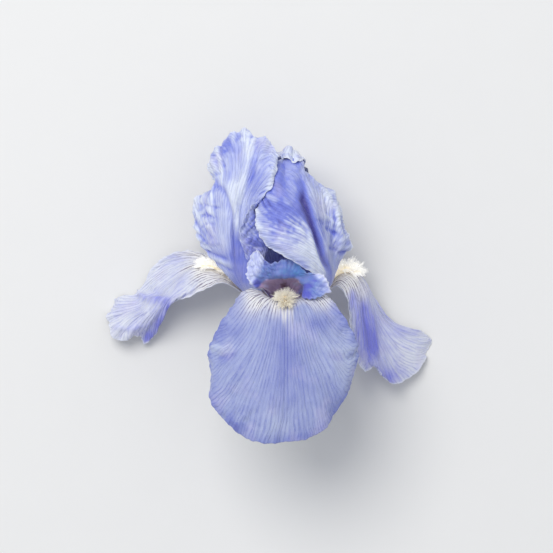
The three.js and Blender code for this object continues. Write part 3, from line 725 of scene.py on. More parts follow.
LEFT_FALL = [
    foot(-120, -1),
    [(-15.5, 0.5, -3), (-15, -0.8, -4.6), (-14.4, -1.6, -6.2), (-13.6, -1.9, -7.8),
     (-12.8, -1.6, -9.4), (-12, -0.8, -11), (-11, 0.5, -12.4)],
    [(-27, 7.5, -2), (-26.6, 8.5, -4.6), (-26, 9.6, -7.3), (-25.6, 10.4, -10),
     (-25.4, 11.2, -12.8), (-25.3, 12.4, -15.4), (-25.5, 14.5, -17.8)],
    [(-34.5, 5.2, -1.5), (-35, 8.5, -4.2), (-35.6, 11.8, -7.6), (-36.2, 14.5, -11.5),
     (-36.8, 16.6, -15.2), (-37.6, 18.8, -18.4), (-39, 21.5, -21)],
    [(-42.5, 1.8, -3.5), (-43.6, 4.6, -5.5), (-45, 7.8, -9.5), (-46.6, 10.6, -14),
     (-48, 13.8, -18.4), (-49, 17.6, -21.4), (-50.5, 21.5, -24)],
    [(-51, -2, -11), (-52.4, -0.6, -9.5), (-54, 1.2, -11.5), (-55.6, 3.4, -15),
     (-57.6, 6, -19), (-59.6, 9.6, -23), (-61.8, 13.5, -26)],
    [(-55.5, -10, -19), (-58, -7.6, -13.5), (-61, -5.4, -13), (-63.6, -3.6, -16.5),
     (-65.8, -1.6, -21), (-67, 0.8, -25), (-66.6, 3.8, -28)],
    [(-59.5, -15.5, -24), (-63.5, -12.8, -17.5), (-68, -10.5, -16.5), (-71.5, -8, -19.5),
     (-74, -5.2, -23), (-75, -2, -26), (-74, 1.8, -28.5)],
    [(-64.5, -19.5, -27), (-68, -16.4, -22), (-76.5, -18.8, -21.5), (-80, -14, -23.5),
     (-81, -9.5, -26), (-80, -4.5, -28.7), (-77, -0.5, -30.3)],
]

RIGHT_FALL = [
    foot(120, 1),
    mirrored(LEFT_FALL[1]),
    [(22.5, 6, -2), (23, 7.6, -4.6), (23.6, 9.4, -7.3), (24, 10.6, -10),
     (24.4, 11.6, -12.8), (24.8, 12.6, -15.4), (25.5, 13.5, -17.8)],
    [(26.8, 2.6, -1), (28.2, 6, -3.6), (29.6, 9.4, -7), (31, 11.6, -11),
     (32.4, 12, -14.6), (33.6, 11.6, -17.6), (34.8, 10.4, -20)],
    [(28.8, -6.5, -1), (31.4, -3.4, -2.6), (34.2, 0.6, -6), (36.6, 3.6, -10.5),
     (38.6, 3.4, -14.6), (40.4, 1.2, -18.2), (42.2, -2.2, -21.5)],
    [(30.2, -17, -2.5), (33.6, -14.5, -3.5), (36.6, -11.5, -7.5), (39, -8.5, -12.5),
     (42, -7.6, -17), (46.4, -8.6, -21.2), (51, -11, -24.5)],
    [(32, -26, -4.5), (36, -24.5, -5.5), (38.8, -23, -10), (42, -20.5, -14.5),
     (47, -18, -18.5), (54, -15.5, -23), (60.5, -13.5, -27)],
    [(34, -30, -6), (38.5, -28.6, -8.5), (42, -30.5, -13.5), (46.5, -31, -17),
     (53, -27.5, -20.5), (60.5, -21.5, -25), (65, -16, -28.5)],
    [(36, -32.3, -8), (41, -30.8, -12), (44.5, -35, -16.5), (50, -38.3, -19.5),
     (58.5, -34.8, -23.4), (64.5, -26.5, -27.8), (67, -19, -30.6)],
]

LEFT_STANDARD = [
    foot(-60, 1),
    [(-12.3, -0.5, 1.6), (-12.2, -1.5, 3.6), (-11.9, -2, 5.7), (-11, -2.2, 7.2),
     (-10, -2, 8.6), (-8.8, -1.5, 9.8), (-7.4, -0.5, 10.8)],
    [(-23.5, 9, 1), (-23, 8, 5.6), (-21.4, 7.4, 9.4), (-19.4, 7, 12),
     (-17.2, 7.2, 14.2), (-14.6, 7.8, 16), (-13.4, 9, 18.6)],
    [(-33, 19, -5), (-30.5, 17.5, 4), (-26.6, 17.5, 11), (-22.8, 18, 14.5),
     (-17.6, 18.5, 15.2), (-8.8, 19, 17.6), (-17.6, 20, 21.8)],
    [(-38.8, 28, -8), (-34.6, 28.5, 2.5), (-29, 29.3, 11.5), (-23.6, 30, 15.5),
     (-17.6, 30.5, 15.5), (-9, 30.5, 17.2), (-20.2, 30.5, 22.6)],
    [(-40.3, 45, -7), (-35, 44, 3.5), (-28.5, 44, 12), (-22.2, 44, 16),
     (-17.2, 43.5, 17), (-13.6, 42.6, 18.6), (-14.6, 41.2, 23)],
    [(-31.8, 51, -5), (-30, 54.5, 4), (-25, 57, 11), (-19, 58, 15),
     (-13.5, 57.5, 18), (-8.5, 55, 21.4), (-6.3, 50, 24)],
    [(-34.8, 59, -6), (-31, 64.5, 1.5), (-24.5, 68.5, 7.5), (-18, 69.5, 11),
     (-12, 68, 14.4), (-7, 63.5, 18.2), (-4.3, 57, 21.4)],
    [(-33.5, 65, -7), (-29, 71, -1.5), (-23.5, 75.5, 2.5), (-17.5, 77, 5.5),
     (-10.5, 73.5, 9.8), (-6, 70, 13.6), (-2.8, 64, 17.6)],
]

RIGHT_STANDARD = [
    foot(60, 1),
    [(8, -0.5, 12), (9.4, -1.5, 10.6), (10.4, -2, 8.8), (11.2, -2.2, 7.2),
     (11.9, -2, 5.4), (12.2, -1.5, 3.4), (12.3, -0.5, 1.4)],
    [(15.2, 8.4, 24), (16.9, 7.8, 20.6), (18.6, 7.2, 16.6), (19.8, 7, 12.4),
     (20.6, 7.2, 8.8), (21.2, 8.2, 5.2), (21.2, 9.6, 1.6)],
    [(9, 14, 28.6), (12.8, 15, 26), (16.8, 16.5, 21), (19.8, 18, 14.5),
     (21, 18.6, 8.4), (23, 19, 6.2), (25.8, 19.3, 2)],
    [(-0.5, 19.5, 30), (5, 22.5, 29.4), (12, 26, 24.6), (17.8, 29, 16.5),
     (20.6, 28, 9), (25.6, 26, 7.6), (30, 24.4, 1.5)],
    [(-9.5, 25.5, 28), (-2.5, 31, 29.5), (7, 36, 26), (15, 39.5, 17.5),
     (18.8, 38, 10.8), (23.6, 35, 9.2), (27.2, 30.8, 2.5)],
    [(-12.6, 35.5, 25.5), (-6, 42, 25.5), (3, 46, 23.4), (11.8, 48.5, 17),
     (16.2, 47.5, 11.4), (21.6, 44, 9.6), (25.8, 38, 3.2)],
    [(-9.2, 44.5, 19.4), (-5, 51, 19.6), (1, 55, 18.4), (8.5, 56.5, 13.8),
     (12.4, 54, 10), (18.8, 50.5, 8), (24.3, 45, 3)],
    [(-6, 53, 14), (-3.2, 59.8, 12.4), (1.5, 62.2, 10.4), (6.6, 61.4, 8.8),
     (9.3, 56.2, 8.4), (14.6, 52.9, 7.2), (20.2, 48, 4)],
]

BACK_STANDARD = [
    foot(180, -1),
    even([(-5.2, 0, -11.5), (-3.6, -1, -12.6), (-1.8, -1.6, -13.3), (0, -1.8, -13.5)]),
    even([(-11, 10, -14), (-8, 8.6, -18.4), (-4, 7.8, -20.8), (0, 7.5, -21.5)]),
    [(-17.5, 22, -16.5), (-13, 20, -22), (-6.8, 19, -26.4), (0, 18.6, -28.2),
     (6.8, 19, -26.4), (12.5, 20, -22), (16, 22, -16.5)],
    [(-24.5, 35, -12), (-18.5, 34, -21), (-9, 33, -28.2), (0.5, 32.5, -30.1),
     (9.5, 33, -28.2), (17, 34, -21), (21, 35, -12)],
    [(-24, 48, -9.5), (-17, 48, -18), (-8, 48, -24.5), (1.5, 48, -26.5),
     (10, 47, -24), (16, 45.5, -17), (19.5, 43, -10)],
    [(-19, 57, -5), (-13, 60, -8.5), (-5.5, 61.5, -10.5), (2, 63, -10.5),
     (7, 61, -9.5), (11, 55, -7.5), (14.5, 49.5, -5.5)],
    [(-14, 61, -1.5), (-9, 65, -3.5), (-3.4, 66.2, 0), (2, 68.4, 3.5),
     (6.2, 65.6, 2), (8.7, 59.8, -3), (10.8, 52.8, -5)],
    [(-12.5, 60.5, 1.8), (-7.8, 63.8, 2.6), (-2.6, 64.2, 9.8), (1.4, 62, 15.4),
     (6.5, 61.7, 15), (9, 61.9, 5.8), (10.9, 54.6, -3)],
]

ARM_ROOT = [
    even([(-1.5, -3.2, 0.8), (-1, -2.4, 1), (-0.5, -2, 1.1), (0, -1.8, 1.1)]),
    even([(-3.2, -1, 4), (-2.2, 0.2, 4.4), (-1.1, 0.9, 4.6), (0, 1.2, 4.7)]),
]

FRONT_ARM = [
    *ARM_ROOT,
    even([(-6.5, 3, 11), (-4.6, 5.2, 11.6), (-2.4, 6.4, 12), (0, 6.8, 12.2)]),
    [(-9.4, 5.2, 18.6), (-7, 7.4, 18.9), (-3.5, 8.9, 18.9), (0, 9.4, 18.8),
     (3.6, 9, 18.6), (7, 7.4, 18.8), (9, 4.6, 20)],
    [(-14.2, 6.4, 24.4), (-10, 9, 24.2), (-4.8, 10.2, 24), (0.2, 10.8, 23.8),
     (5, 10.2, 23.8), (8.6, 6.6, 26.8), (7.8, 1.4, 31.6)],
    [(-17, 9.8, 25), (-12.2, 14.6, 26.4), (-6.2, 13.4, 26.2), (0.4, 14.2, 25.4),
     (7, 11.8, 25.8), (12.6, 7.6, 30), (13.8, 1.2, 33.4)],
    [(-17.2, 16, 24.2), (-12.8, 22.2, 24.8), (-6.8, 16.4, 27), (0.6, 17.6, 25.6),
     (8.4, 11.8, 28.4), (16.8, 11.4, 31.8), (20.6, 4.2, 31.8)],
]

SIDE_ARM = [
    *ARM_ROOT,
    even([(-5, 6, 9.6), (-3.7, 8, 10), (-1.9, 9.4, 10.3), (0, 9.9, 10.4)]),
    even([(-6.4, 12.5, 14.6), (-4.8, 14.6, 15.4), (-2.5, 16, 15.8), (0, 16.4, 16)]),
    even([(-7.2, 17.4, 18.4), (-5.4, 19.8, 20), (-2.8, 21.1, 20.8), (0, 21.3, 21)]),
    even([(-7.8, 22, 20), (-5.8, 24.6, 22.6), (-3, 24.6, 23.6), (0, 23.6, 24)]),
    even([(-8, 25, 19.5), (-5.9, 28.6, 22.8), (-3, 27.4, 25), (0, 24.6, 25.6)]),
]

# How each petal differs. Frill: height, waves and phase. Lines: the number of veins across, and fan and
# spread: how they fan out. Whites and spots: x, y, two radii and a change of tint. Spots are partly the
# petal's own tints and partly painted shade and painted light. Crumples: x, y, two radii, a height and a
# grain. Creases: a line of points, a width to the left and to the right of it, a height and a change of
# tint, which is painted shade in a hollow and painted highlight on a ridge. Nicks: x, y, a radius and a
# depth, and where the depth is negative the margin reaches out instead. Crumples and creases may end with
# the part of the petal they keep to, from -1 at its left side to 1 at its right side. Cavity shade: how
# much the shape's hollows are painted deeper and its ridges paler. Edge highlights: the strength of the
# painted highlight edge on the left and on the right.
PLAIN = dict(
    straight=0, edge_highlights=(0.9, 0.9), cavity_shade=0.4, rim_tint=-0.2, rim_width=3, whites=(), spots=(),
    crumples=(), creases=(), nicks=(),
)
SIDE_FALL = dict(
    PLAIN, grid=(140, 190), lines=15, fan=1.1, spread=0.7, ruffle=0.5, scallop=0.8, quilting=0.9,
    crepe=1.2, dents=0.3,
)
STANDARD = dict(
    PLAIN, grid=(190, 190), lines=24, spread=0.9, crepe=1.4, haft=(0.02, 0.14),
)

FALLS = {
    "fall_front": dict(
        PLAIN, net=FRONT_FALL, grid=(180, 190), frill=(1, 4, 0.6), seed=3, lines=17, fan=1.2, spread=0.4,
        straight=1, edge_highlights=(0.3, 0.3), ruffle=0.45, scallop=1, quilting=0.55, crepe=1, dents=0.35,
        cavity_shade=0.35, tint=0.4, rim_tint=0.45, haft=(0.33, 0.5),
        # The last white takes the white off the haft right of the beard: painted shade.
        whites=[
            (-0.4, -7, 0.7, 3.2, 1.2), (-13, -3, 8, 5, 0.5), (16.5, -2, 5, 2.5, 0.4),
            (8.5, -5, 4, 6, -0.8),
        ],
        spots=[
            (12.5, -10, 3, 3, 0.35), (17, -11, 6, 3, 0.3), (-26, -14, 7, 4, 0.3),
            (6.7, -34, 3.5, 12, 0.25), (24, -46, 5, 8, 0.35), (-21.6, -55, 8, 3, 0.4),
            (-31, -42, 3, 8, 0.25), (-8, -55, 9, 6, -0.3), (6, -60, 9, 3, 0.3), (-14, -40, 8, 12, 0.1),
            (26, -30, 5, 9, -0.35), (22, -27, 8, 6, -0.15), (0, -26, 4.5, 16, 0.45),
        ],
        crumples=[(-28, -22, 6, 4, 0.7, 3), (31, -24, 5, 5, 0.6, 3), (-22, -54, 9, 4, 0.6, 3.5)],
        creases=[
            ([(-33, -20), (-27, -21.5), (-23, -20)], 1.2, 1.6, -1.1, -0.6),
            ([(-31, -24.5), (-26, -25), (-21, -23.5)], 1.2, 1.6, 0.8, 0.35),
            ([(34, -22), (26, -26.5), (18, -24)], 1, 1.6, 0.6, 0.3),
            ([(33, -19), (25, -22.5), (17, -20)], 1, 1.6, -0.5, -0.2),
            ([(-24, -54), (-17, -50), (-13, -44)], 1.6, 1.6, -0.6, 0),
        ],
    ),
    "fall_left": dict(
        SIDE_FALL, net=LEFT_FALL, frill=(1.2, 4, 2.1), seed=13, tint=0.12, rim_tint=-0.1,
        haft=(0.36, 0.52),
        whites=[(-36, 13, 6, 5, 0.4)],
        spots=[
            # The first three spots are painted shade on the near half, which bends down away from the
            # light.
            (-53, -4, 2.8, 4.5, 0.8), (-57, -11, 3.2, 5, 1), (-62, -18, 3.6, 4, 1.2),
            (-45, 20, 8, 3, 0.2), (-57, 1, 6, 3, 0.25), (-74, -3, 4, 2.5, 0.2),
        ],
        creases=[
            ([(-67.5, 3.2), (-61, -0.2), (-54, 0.8)], 1, 1.8, 1.6, 0.35),
            ([(-64, 5.5), (-58, 2.4), (-52, 3.2)], 1.5, 1, -0.9, -0.1),
            ([(-50, 4), (-44, 11), (-38, 15)], 1.5, 1.2, 0.9, 0.15),
            ([(-79, -12), (-70, -13.5), (-62, -11)], 1.2, 1.4, 0.6, 0.2),
        ],
        nicks=[(-66, 2.8, 1.6, 1.6), (-79.5, -13, 1.4, 0.8)],
    ),
    "fall_right": dict(
        SIDE_FALL, net=RIGHT_FALL, frill=(1.2, 4, 4.4), seed=23, tint=0.3, haft=(0.3, 0.5),
        whites=[(24, 11, 5, 3, 0.7), (30, 8, 4, 3.5, 0.9), (35, 3, 3, 4, 0.7)],
        spots=[
            # The second and third spots are painted shade in the valley where the fall bends down.
            (29, 2, 3.5, 5, 0.45), (34.5, -10, 3.5, 12, 0.55), (39.5, -20, 3.5, 9, 0.6),
            (29.5, -10, 2, 8, -0.3), (36, -26, 4, 5, 0.2), (47, -35, 6, 4, 0.5), (57, -25, 8, 8, -0.2),
            (56, -14, 8, 2.5, 0.2),
        ],
        creases=[
            ([(34.5, 4), (36, -6), (37, -16), (38.5, -26)], 1.2, 1.2, 1, 0.35),
            ([(37, 2), (39, -8), (40.5, -18), (42, -28)], 1, 1.6, -0.9, 0.3),
            ([(32, 2), (33, -8), (34, -18)], 1, 1, -0.5, -0.1),
        ],
    ),
}

STANDARDS = {
    "standard_left": dict(
        STANDARD, net=LEFT_STANDARD, frill=(1.1, 4.5, 1.2), seed=33, fan=1.2, spread=0.85, edge_highlights=(1, 0.4),
        ruffle=0.85, scallop=1.1, quilting=1.3, crepe=1.6, dents=0.45, tint=0.38,
        spots=[
            (-34, 32, 5, 7, 0.3), (-20, 45, 4, 8, -0.3), (-27, 69, 5, 4, 0.35), (-16, 70, 3, 6, -0.5),
            (-9, 63, 5, 9, 0.15), (-26, 57, 8, 5, 0.2), (-18, 11, 6, 7, 0.5), (-21.5, 16, 3.5, 12, 0.4),
            (-22, 46, 4, 9, -0.35), (-30, 50, 5, 2.5, 0.35), (-29, 20, 6, 3, 0.35),
            (-13, 52, 3.5, 9, 0.2), (-15, 29, 6, 13, 0.55), (-12.5, 22, 4.5, 5, 0.25),
        ],
        crumples=[
            (-14.5, 29, 6.5, 14, 1.35, 2.1, 0.5, 1.2), (-36, 36, 6, 16, 0.6, 2.2, -1.2, -0.4),
            (-30, 64, 6, 12, 0.45, 3, -1.2, 0.2), (-17, 74, 8, 5, 0.4, 3),
        ],
        creases=[
            ([(-34, 50), (-29, 51), (-26, 46), (-24, 38), (-23.4, 28), (-22.6, 14)],
             1.6, 1.2, -1.3, 0.4, -1.2, 0.3),
            ([(-26.5, 56), (-24.5, 47), (-21.5, 38), (-21, 28)], 1.5, 1.5, 0.8, -0.25, -1.2, 0.6),
            ([(-12.5, 73), (-13, 66), (-14.5, 58), (-17, 50), (-19.5, 41), (-20.5, 33)],
             1.3, 2.2, -1.3, 0.25, -0.6, 0.75),
            ([(-16, 68), (-16.5, 60), (-18.6, 52), (-21, 44)], 1.3, 1.3, 0.7, -0.3, -0.6, 0.75),
            ([(-3, 60), (-7.5, 49), (-10.5, 42)], 1.4, 1, 0.5, -0.5, 0.2, 1.2),
            ([(-39, 38.5), (-34, 38), (-30, 36.5)], 0.8, 0.9, -0.6, 0.45, -1.2, -0.2),
            ([(-38, 27), (-33, 25.5), (-28, 25.5)], 0.8, 1, 0.5, 0.2, -1.2, -0.2),
            ([(-38.5, 43.5), (-33, 42), (-28.5, 41)], 0.6, 0.8, -0.6, 0.35, -1.2, -0.2),
            ([(-36.5, 23), (-31, 20.5), (-25, 18)], 0.7, 0.9, -0.6, 0.4, -1.2, 0),
            ([(-35.5, 21), (-30, 18.5), (-24, 15.5)], 0.7, 0.9, 0.5, -0.25, -1.2, 0),
            ([(-33, 18), (-28, 15.5), (-22, 12.5)], 0.6, 0.9, -0.5, 0.35, -1.2, 0),
        ],
        nicks=[(-13.2, 75.5, 2.2, 2.6), (-33.5, 49.5, 3, 1.6)],
    ),
    "standard_right": dict(
        STANDARD, net=RIGHT_STANDARD, frill=(1.2, 4, 3.3), seed=43, lines=30, fan=1.6, edge_highlights=(0.6, 1),
        ruffle=0.6, scallop=0.8, quilting=1.1, dents=0.4, tint=0.5, rim_tint=-0.3, rim_width=2,
        spots=[
            # The spots at (9, 22) and (14.5, 14.5) pale the flap's band: partly its own pale colour, partly
            # painted light.
            (3, 50, 11, 7, 0.1), (2, 40, 8, 6, 0.65), (9, 22, 7, 5, -0.75), (14.5, 14.5, 4, 6, -0.9),
            (20, 45, 6, 9, -0.6), (24, 28, 5, 6, 0.2), (-4, 50, 4.5, 8, 0.5), (1, 54, 5, 6, 0.3),
            (5, 15, 7, 5, 0.35),
        ],
        crumples=[(-6, 46, 6, 8, 0.6, 2.6), (23, 38, 6, 14, 0.45, 3), (2, 32, 12, 8, 0.22, 2.4)],
        creases=[
            ([(8, 52), (9, 45), (11.6, 38), (13.8, 32), (15.6, 26), (17.4, 20), (19.2, 15), (20.4, 10)],
             1.1, 3, -2.4, 2),
            ([(9, 34), (11, 28), (13.2, 21), (16, 15), (18.6, 10)], 2.5, 0.9, 1.2, -0.5),
            ([(15, 37), (19, 32), (23.5, 29)], 1, 1.2, -1, 0.45),
            ([(17, 38.5), (21, 35), (25.5, 33)], 1, 1.2, 0.7, -0.25),
            ([(19, 24), (24, 21.5), (28, 22)], 1, 1, -0.8, 0.35),
            ([(-9, 47), (-2, 44.5), (4, 42)], 1, 1.4, 0.7, -0.2),
            ([(-9, 44.5), (-2, 42), (4, 39.5)], 1, 1.4, -0.6, 0.25),
            ([(-11, 41), (-9, 46), (-6.5, 50.5), (-4.5, 55), (-3, 60)], 3, 3, 2.2, 0.3),
            ([(-2, 60), (3, 61), (8, 58.5)], 2.5, 2.5, 2, 0.3),
        ],
        nicks=[(26, 34, 2, 1.2), (1, 62, 5, -2.4), (9.6, 58, 3.4, -1.7), (-10, 45, 4, -1.4)],
    ),
    "standard_back": dict(
        STANDARD, net=BACK_STANDARD, grid=(160, 180), frill=(1.2, 4, 5.1), seed=53, fan=1.3, ruffle=0.7,
        scallop=0.9, quilting=0.8, dents=0.5, tint=0.45,
        # The first spot is painted shade low inside the standard; the second is painted light that pales
        # the tip in shade.
        spots=[(0, 14, 16, 16, 0.55), (3, 64, 9, 6, -0.7)],
        crumples=[(2, 64, 8, 5, 0.5, 2.2)],
    ),
}

# ---------------------------------------------------------------------------------------------
# Beards


def hairs(roots, directions, lengths, radius, curl):
    """Tapered three-sided hairs. Each starts at its root along its direction and bends by its curl, a
    vector in millimetres that is added with the square of the way along."""
    share = np.array([0.0, 0.3, 0.58, 0.82, 1.0])
    path = roots[:, None] + directions[:, None] * (lengths[:, None] * share)[..., None]
    path = path + curl[:, None] * (share**2)[:, None]
    points = rings_round(path, radius * (1 - 0.72 * share**1.5), 3)
    count, rings = path.shape[:2]
    start = (np.arange(count) * rings * 3)[:, None, None]
    last = (rings - 1) * 3
    quads = (start + ring_quads(rings, 3)).reshape(-1, 4)
    tris = (start + np.array([[2, 1, 0], [last, last + 1, last + 2]])).reshape(-1, 3)
    along = np.tile(np.repeat(share, 3), count)
    who = np.repeat(np.linspace(0, 1, count), rings * 3)
    return Form(points, quads, np.stack([who, along], axis=1), tris, {"along": along})


# Where each fall's beard starts and ends along the haft, which face of the fall it stands on, the length
# of its hairs in millimetres, its number of tufts and the seed of its chances.
BEARDS = {
    "beard_front": dict(fall="fall_front", start=0.19, end=0.385, upper=-1, reach=4.2, tufts=240, seed=11),
    "beard_left": dict(fall="fall_left", start=0.2, end=0.4, upper=1, reach=6.6, tufts=70, seed=23),
    "beard_right": dict(fall="fall_right", start=0.19, end=0.395, upper=-1, reach=6.8, tufts=70, seed=37),
}
# A beard's ridge, and how high its middle line and the hairs' roots stand over the haft, in millimetres.
RIDGE_RADIUS = 1.5
RIDGE_HEIGHT = 0.9
ROOT_HEIGHT = 0.7
ROOT_HALF_WIDTH = 1.1
# How far a tuft leans to either side, in degrees.
TUFT_LEAN = 80


def beard(sizes, fall, start, end, upper, reach, tufts, seed):
    """A beard: a low ridge along the middle of a fall's haft, and tufts of hairs that stand up from it,
    lean to both sides and point further forward the nearer they are to its end. They are longest in
    the middle."""
    net = np.array(FALLS[fall]["net"], dtype=float)
    random = np.random.default_rng(seed)
    count = sizes.hairs

    def on_haft(u):
        """The fall's middle line at u, from the beard's start to its end, and the ways along, across
        and up from the fall there."""
        t = start + (end - start) * u
        middle = 0 * t + 0.5
        here = on_net(net, middle, t, pairs=True)
        along = unit(on_net(net, middle, t + 0.01, pairs=True) - here)
        across = unit(on_net(net, middle + 0.01, t, pairs=True) - here)
        return here, along, across, unit(np.cross(across, along) * upper)

    u = np.linspace(0, 1, 25)
    here, _, _, up = on_haft(u)
    radius = RIDGE_RADIUS * np.maximum(np.sin(np.pi * u), 0.003) ** 0.5
    ridge = tube(here + up * (SEAT + RIDGE_HEIGHT), radius, 14)

    tuft = random.integers(0, tufts, count)

    def tuft_chance(low, high):
        """A chance number from low to high, the same for all hairs of a tuft."""
        return random.uniform(low, high, tufts)[tuft]

    u = np.clip(tuft_chance(-0.02, 1.02) + random.normal(0, 0.025, count), 0.01, 0.99)
    here, along, across, up = on_haft(u)
    lean = np.radians(tuft_chance(-TUFT_LEAN, TUFT_LEAN) + random.normal(0, 7, count))
    root = here + up * (SEAT + ROOT_HEIGHT) + across * (np.sin(lean) * ROOT_HALF_WIDTH)[:, None]
    forward = 1.25 * u**2 - 0.25 + random.normal(0, 0.2, tufts)[tuft] + random.normal(0, 0.08, count)
    direction = up * np.cos(lean)[:, None] + across * np.sin(lean)[:, None] + along * forward[:, None]
    longest = tuft_chance(0.66, 1.08) * random.uniform(0.78, 1.0, count)
    length = reach * (0.42 + 0.58 * np.sin(np.pi * u**0.8)) * longest + 1.0
    curl = random.normal(0, 0.5, (tufts, 3))[tuft] + random.normal(0, 0.15, (count, 3)) + along * 0.5
    form = joined([ridge, hairs(root, unit(direction), length, sizes.hair_radius / MM, curl)])
    # Hairs that would reach below the floor lie on it.
    form.points[:, 2] = np.maximum(form.points[:, 2], FLOOR_Z + HAIR_FLOOR_GAP)
    return form


# ---------------------------------------------------------------------------------------------
# Style and stamens

COLUMN_RADIUS = 2.6
COLUMN_HEIGHT = 9.0
ARM_BEARING = 104.0
# The folds and the small teeth at the margin of an arm's crest, in millimetres.
ARM_FOLD_LENGTH = 2.9
ARM_FOLD_REACH = 2.2
TOOTH_HEIGHT = 0.55
TOOTH_LENGTH = 0.9
TOOTH_REACH = 1.2
# The keel along an arm's middle: its height, and its half width as a share of the arm's.
KEEL_HEIGHT = 0.35
KEEL_HALF_WIDTH = 0.16
# How far the front arm's face reaches up under the right standard, round which X and how far to its sides.
FACE_REACH = 3.0
FACE_X = 4.5
FACE_HALF_WIDTH = 3.5
# Each stamen's bearing, and how much higher its tip stands than the front one's.
STAMENS = {"front": (0, 0), "left": (-108, 4), "right": (108, 4)}
# Where the front style arm has which colour. A spot is x, y, two radii and a share. The dark spots are
# painted shade in the hollows above the beard. Most violet spots are painted shade: in the lobe's left
# part, along its upper margin, in the left fold and under the lip. The light spots at (-8.5, 6.5) and
# (5, 7.6), beside the throat, are painted light.
STYLE_PAINT = {
    "mauve": [
        (13.5, 3.5, 6, 5, -1.5), (-15.5, 12, 4, 9, -1.2), (-8, 9.2, 3.5, 1.4, 0.25), (7, 9.4, 5, 2, 0.3),
        (12, 10, 3, 1.6, 0.35), (-8.5, 4, 4, 3, 1.2),
    ],
    "light": [
        (-14, 17, 4, 7, 1), (-16.5, 9, 2.2, 5, 0.9), (-11.5, 22, 3, 4, 0.7), (19.5, 8, 3, 7, 0.8),
        (16, 11.5, 3.5, 2, 0.9), (14.5, 5, 2.5, 4, 0.35), (-8.5, 6.5, 3, 2.5, 0.42),
        (5, 7.6, 2.6, 1.8, 0.42),
    ],
    "violet": [
        (8.6, 2, 3.8, 3.6, 1), (10.4, 6.6, 3, 1.2, 0.7), (13.4, 8.6, 2.4, 0.8, 0.6),
        (-13, 7.6, 2.4, 2.2, 1), (-9, 17, 1.8, 3, 0.5), (0, 11.2, 7, 0.8, 0.45),
    ],
    "teal": [(7, 12.6, 3.6, 2.2, 1), (1, 13, 4, 2.6, 0.5)],
    "dark": [(-4.5, 2.5, 3, 2, 0.7), (-0.2, 7.2, 2.6, 3, 0.55), (3, 5, 6, 1.5, 0.4)],
}
# The crumples on the front arm's crest: s, t, two radii and an amount.
CREST_CRUMPLES = [(0.12, 0.9, 0.22, 0.2, 1.2), (0.95, 0.9, 0.12, 0.14, 0.6)]


def turned(points, bearing):
    """Points turned about the flower's axis, so that what ran along +Z runs along a bearing."""
    sin, cos = np.sin(np.radians(bearing)), np.cos(np.radians(bearing))
    x, y, z = points[..., 0], points[..., 1], points[..., 2]
    return np.stack([x * cos + z * sin, y, z * cos - x * sin], axis=-1)


def style_column():
    """The style's column: a straight tube up the flower's axis, a little narrower near its top."""
    y = np.linspace(STYLE_FOOT_Y, STYLE_FOOT_Y + COLUMN_HEIGHT, 40)
    radius = COLUMN_RADIUS * (1 - 0.25 * np.exp(-(((y - y[-1]) / 0.7) ** 2)))
    return tube(np.stack([0 * y, y, 0 * y], axis=1), radius, 36)


def style_arm(net, bearing, seed, crest):
    """One arm of the style: a strap with a raised keel that ends in a crest, whose margin is folded
    finely and cut into small teeth. crest is the height of the folds, against the usual. The front arm
    has crumples of its own on its crest, given in s and t, its face reaches up under the right
    standard, and it has its own spots of paint in X and Y."""
    front = bearing == 0
    s, t = np.linspace(0, 1, 97), np.linspace(0, 1, 91)
    points = frilled(net, s, t, 0.7, 3, 1)
    normal = normals_of(points)
    rim, place = margin_of(points, s, t)
    side, length = np.meshgrid(2 * s - 1, t)
    grown = smooth(length, 0.45, 0.75)
    folds = uneven_waves(place, ARM_FOLD_LENGTH, seed)
    lift = 0.5 * crest * np.exp(-rim / ARM_FOLD_REACH) * folds * grown
    lift += 0.55 * crest * soft_noise(side * 5 + 20, length * 11, seed + 1) * grown
    for cs, ct, rs, rt, amount in CREST_CRUMPLES if front else ():
        here = amount * spot(s, length, cs, ct, rs, rt)
        lift += here * soft_noise(place / 2.1, length * 22, seed + 2)
        lift += 0.5 * here * soft_noise(place / 0.9 + 7, length * 44, seed + 4)
    lift += KEEL_HEIGHT * np.exp(-((side / KEEL_HALF_WIDTH) ** 2)) * (1 - smooth(length, 0.5, 0.8))
    lift += 0.08 * np.cos(side * 34) * smooth(length, 0.1, 0.3)
    points = points + normal * lift[..., None]
    teeth = TOOTH_HEIGHT * soft_noise(place / TOOTH_LENGTH, 0 * place + 5, seed + 3)
    teeth = teeth * np.exp(-rim / TOOTH_REACH) * grown
    points = turned(points + outward(points, side, length, 5, 8) * teeth[..., None], bearing)
    x, y = points[..., 0], points[..., 1]
    reach = FACE_REACH * front * np.exp(-(((x - FACE_X) / FACE_HALF_WIDTH) ** 2)) * smooth(length, 0.8, 1)
    points = points + reach[..., None] * np.array([0, 1, -0.3])
    base = {"mauve": 1 - smooth(length, 0.52, 0.72)}
    if not front:
        base["light"] = smooth(length, 0.6, 0.9)
    values = {"rim": 1 - smooth(rim, 0, 1.1)}
    for name, given in STYLE_PAINT.items():
        values[name] = np.clip(base.get(name, 0) + spots(x, y, given if front else ()), 0, 1)
    return blade(points, 0.35 + 0.45 * smooth(rim, 0, 3.5), s, t, values)


FILAMENT_RADIUS = 0.62
ANTHER_LOBE_RADIUS = 0.62
ANTHER_LOBE_OFFSET = 0.5


def climbing(points, bearing, share):
    """A path through points given as height and distance from the axis, at a bearing."""
    line = np.array([(0.0, height, distance) for height, distance in points])
    return turned(spline_weights(len(line), share) @ line, bearing)


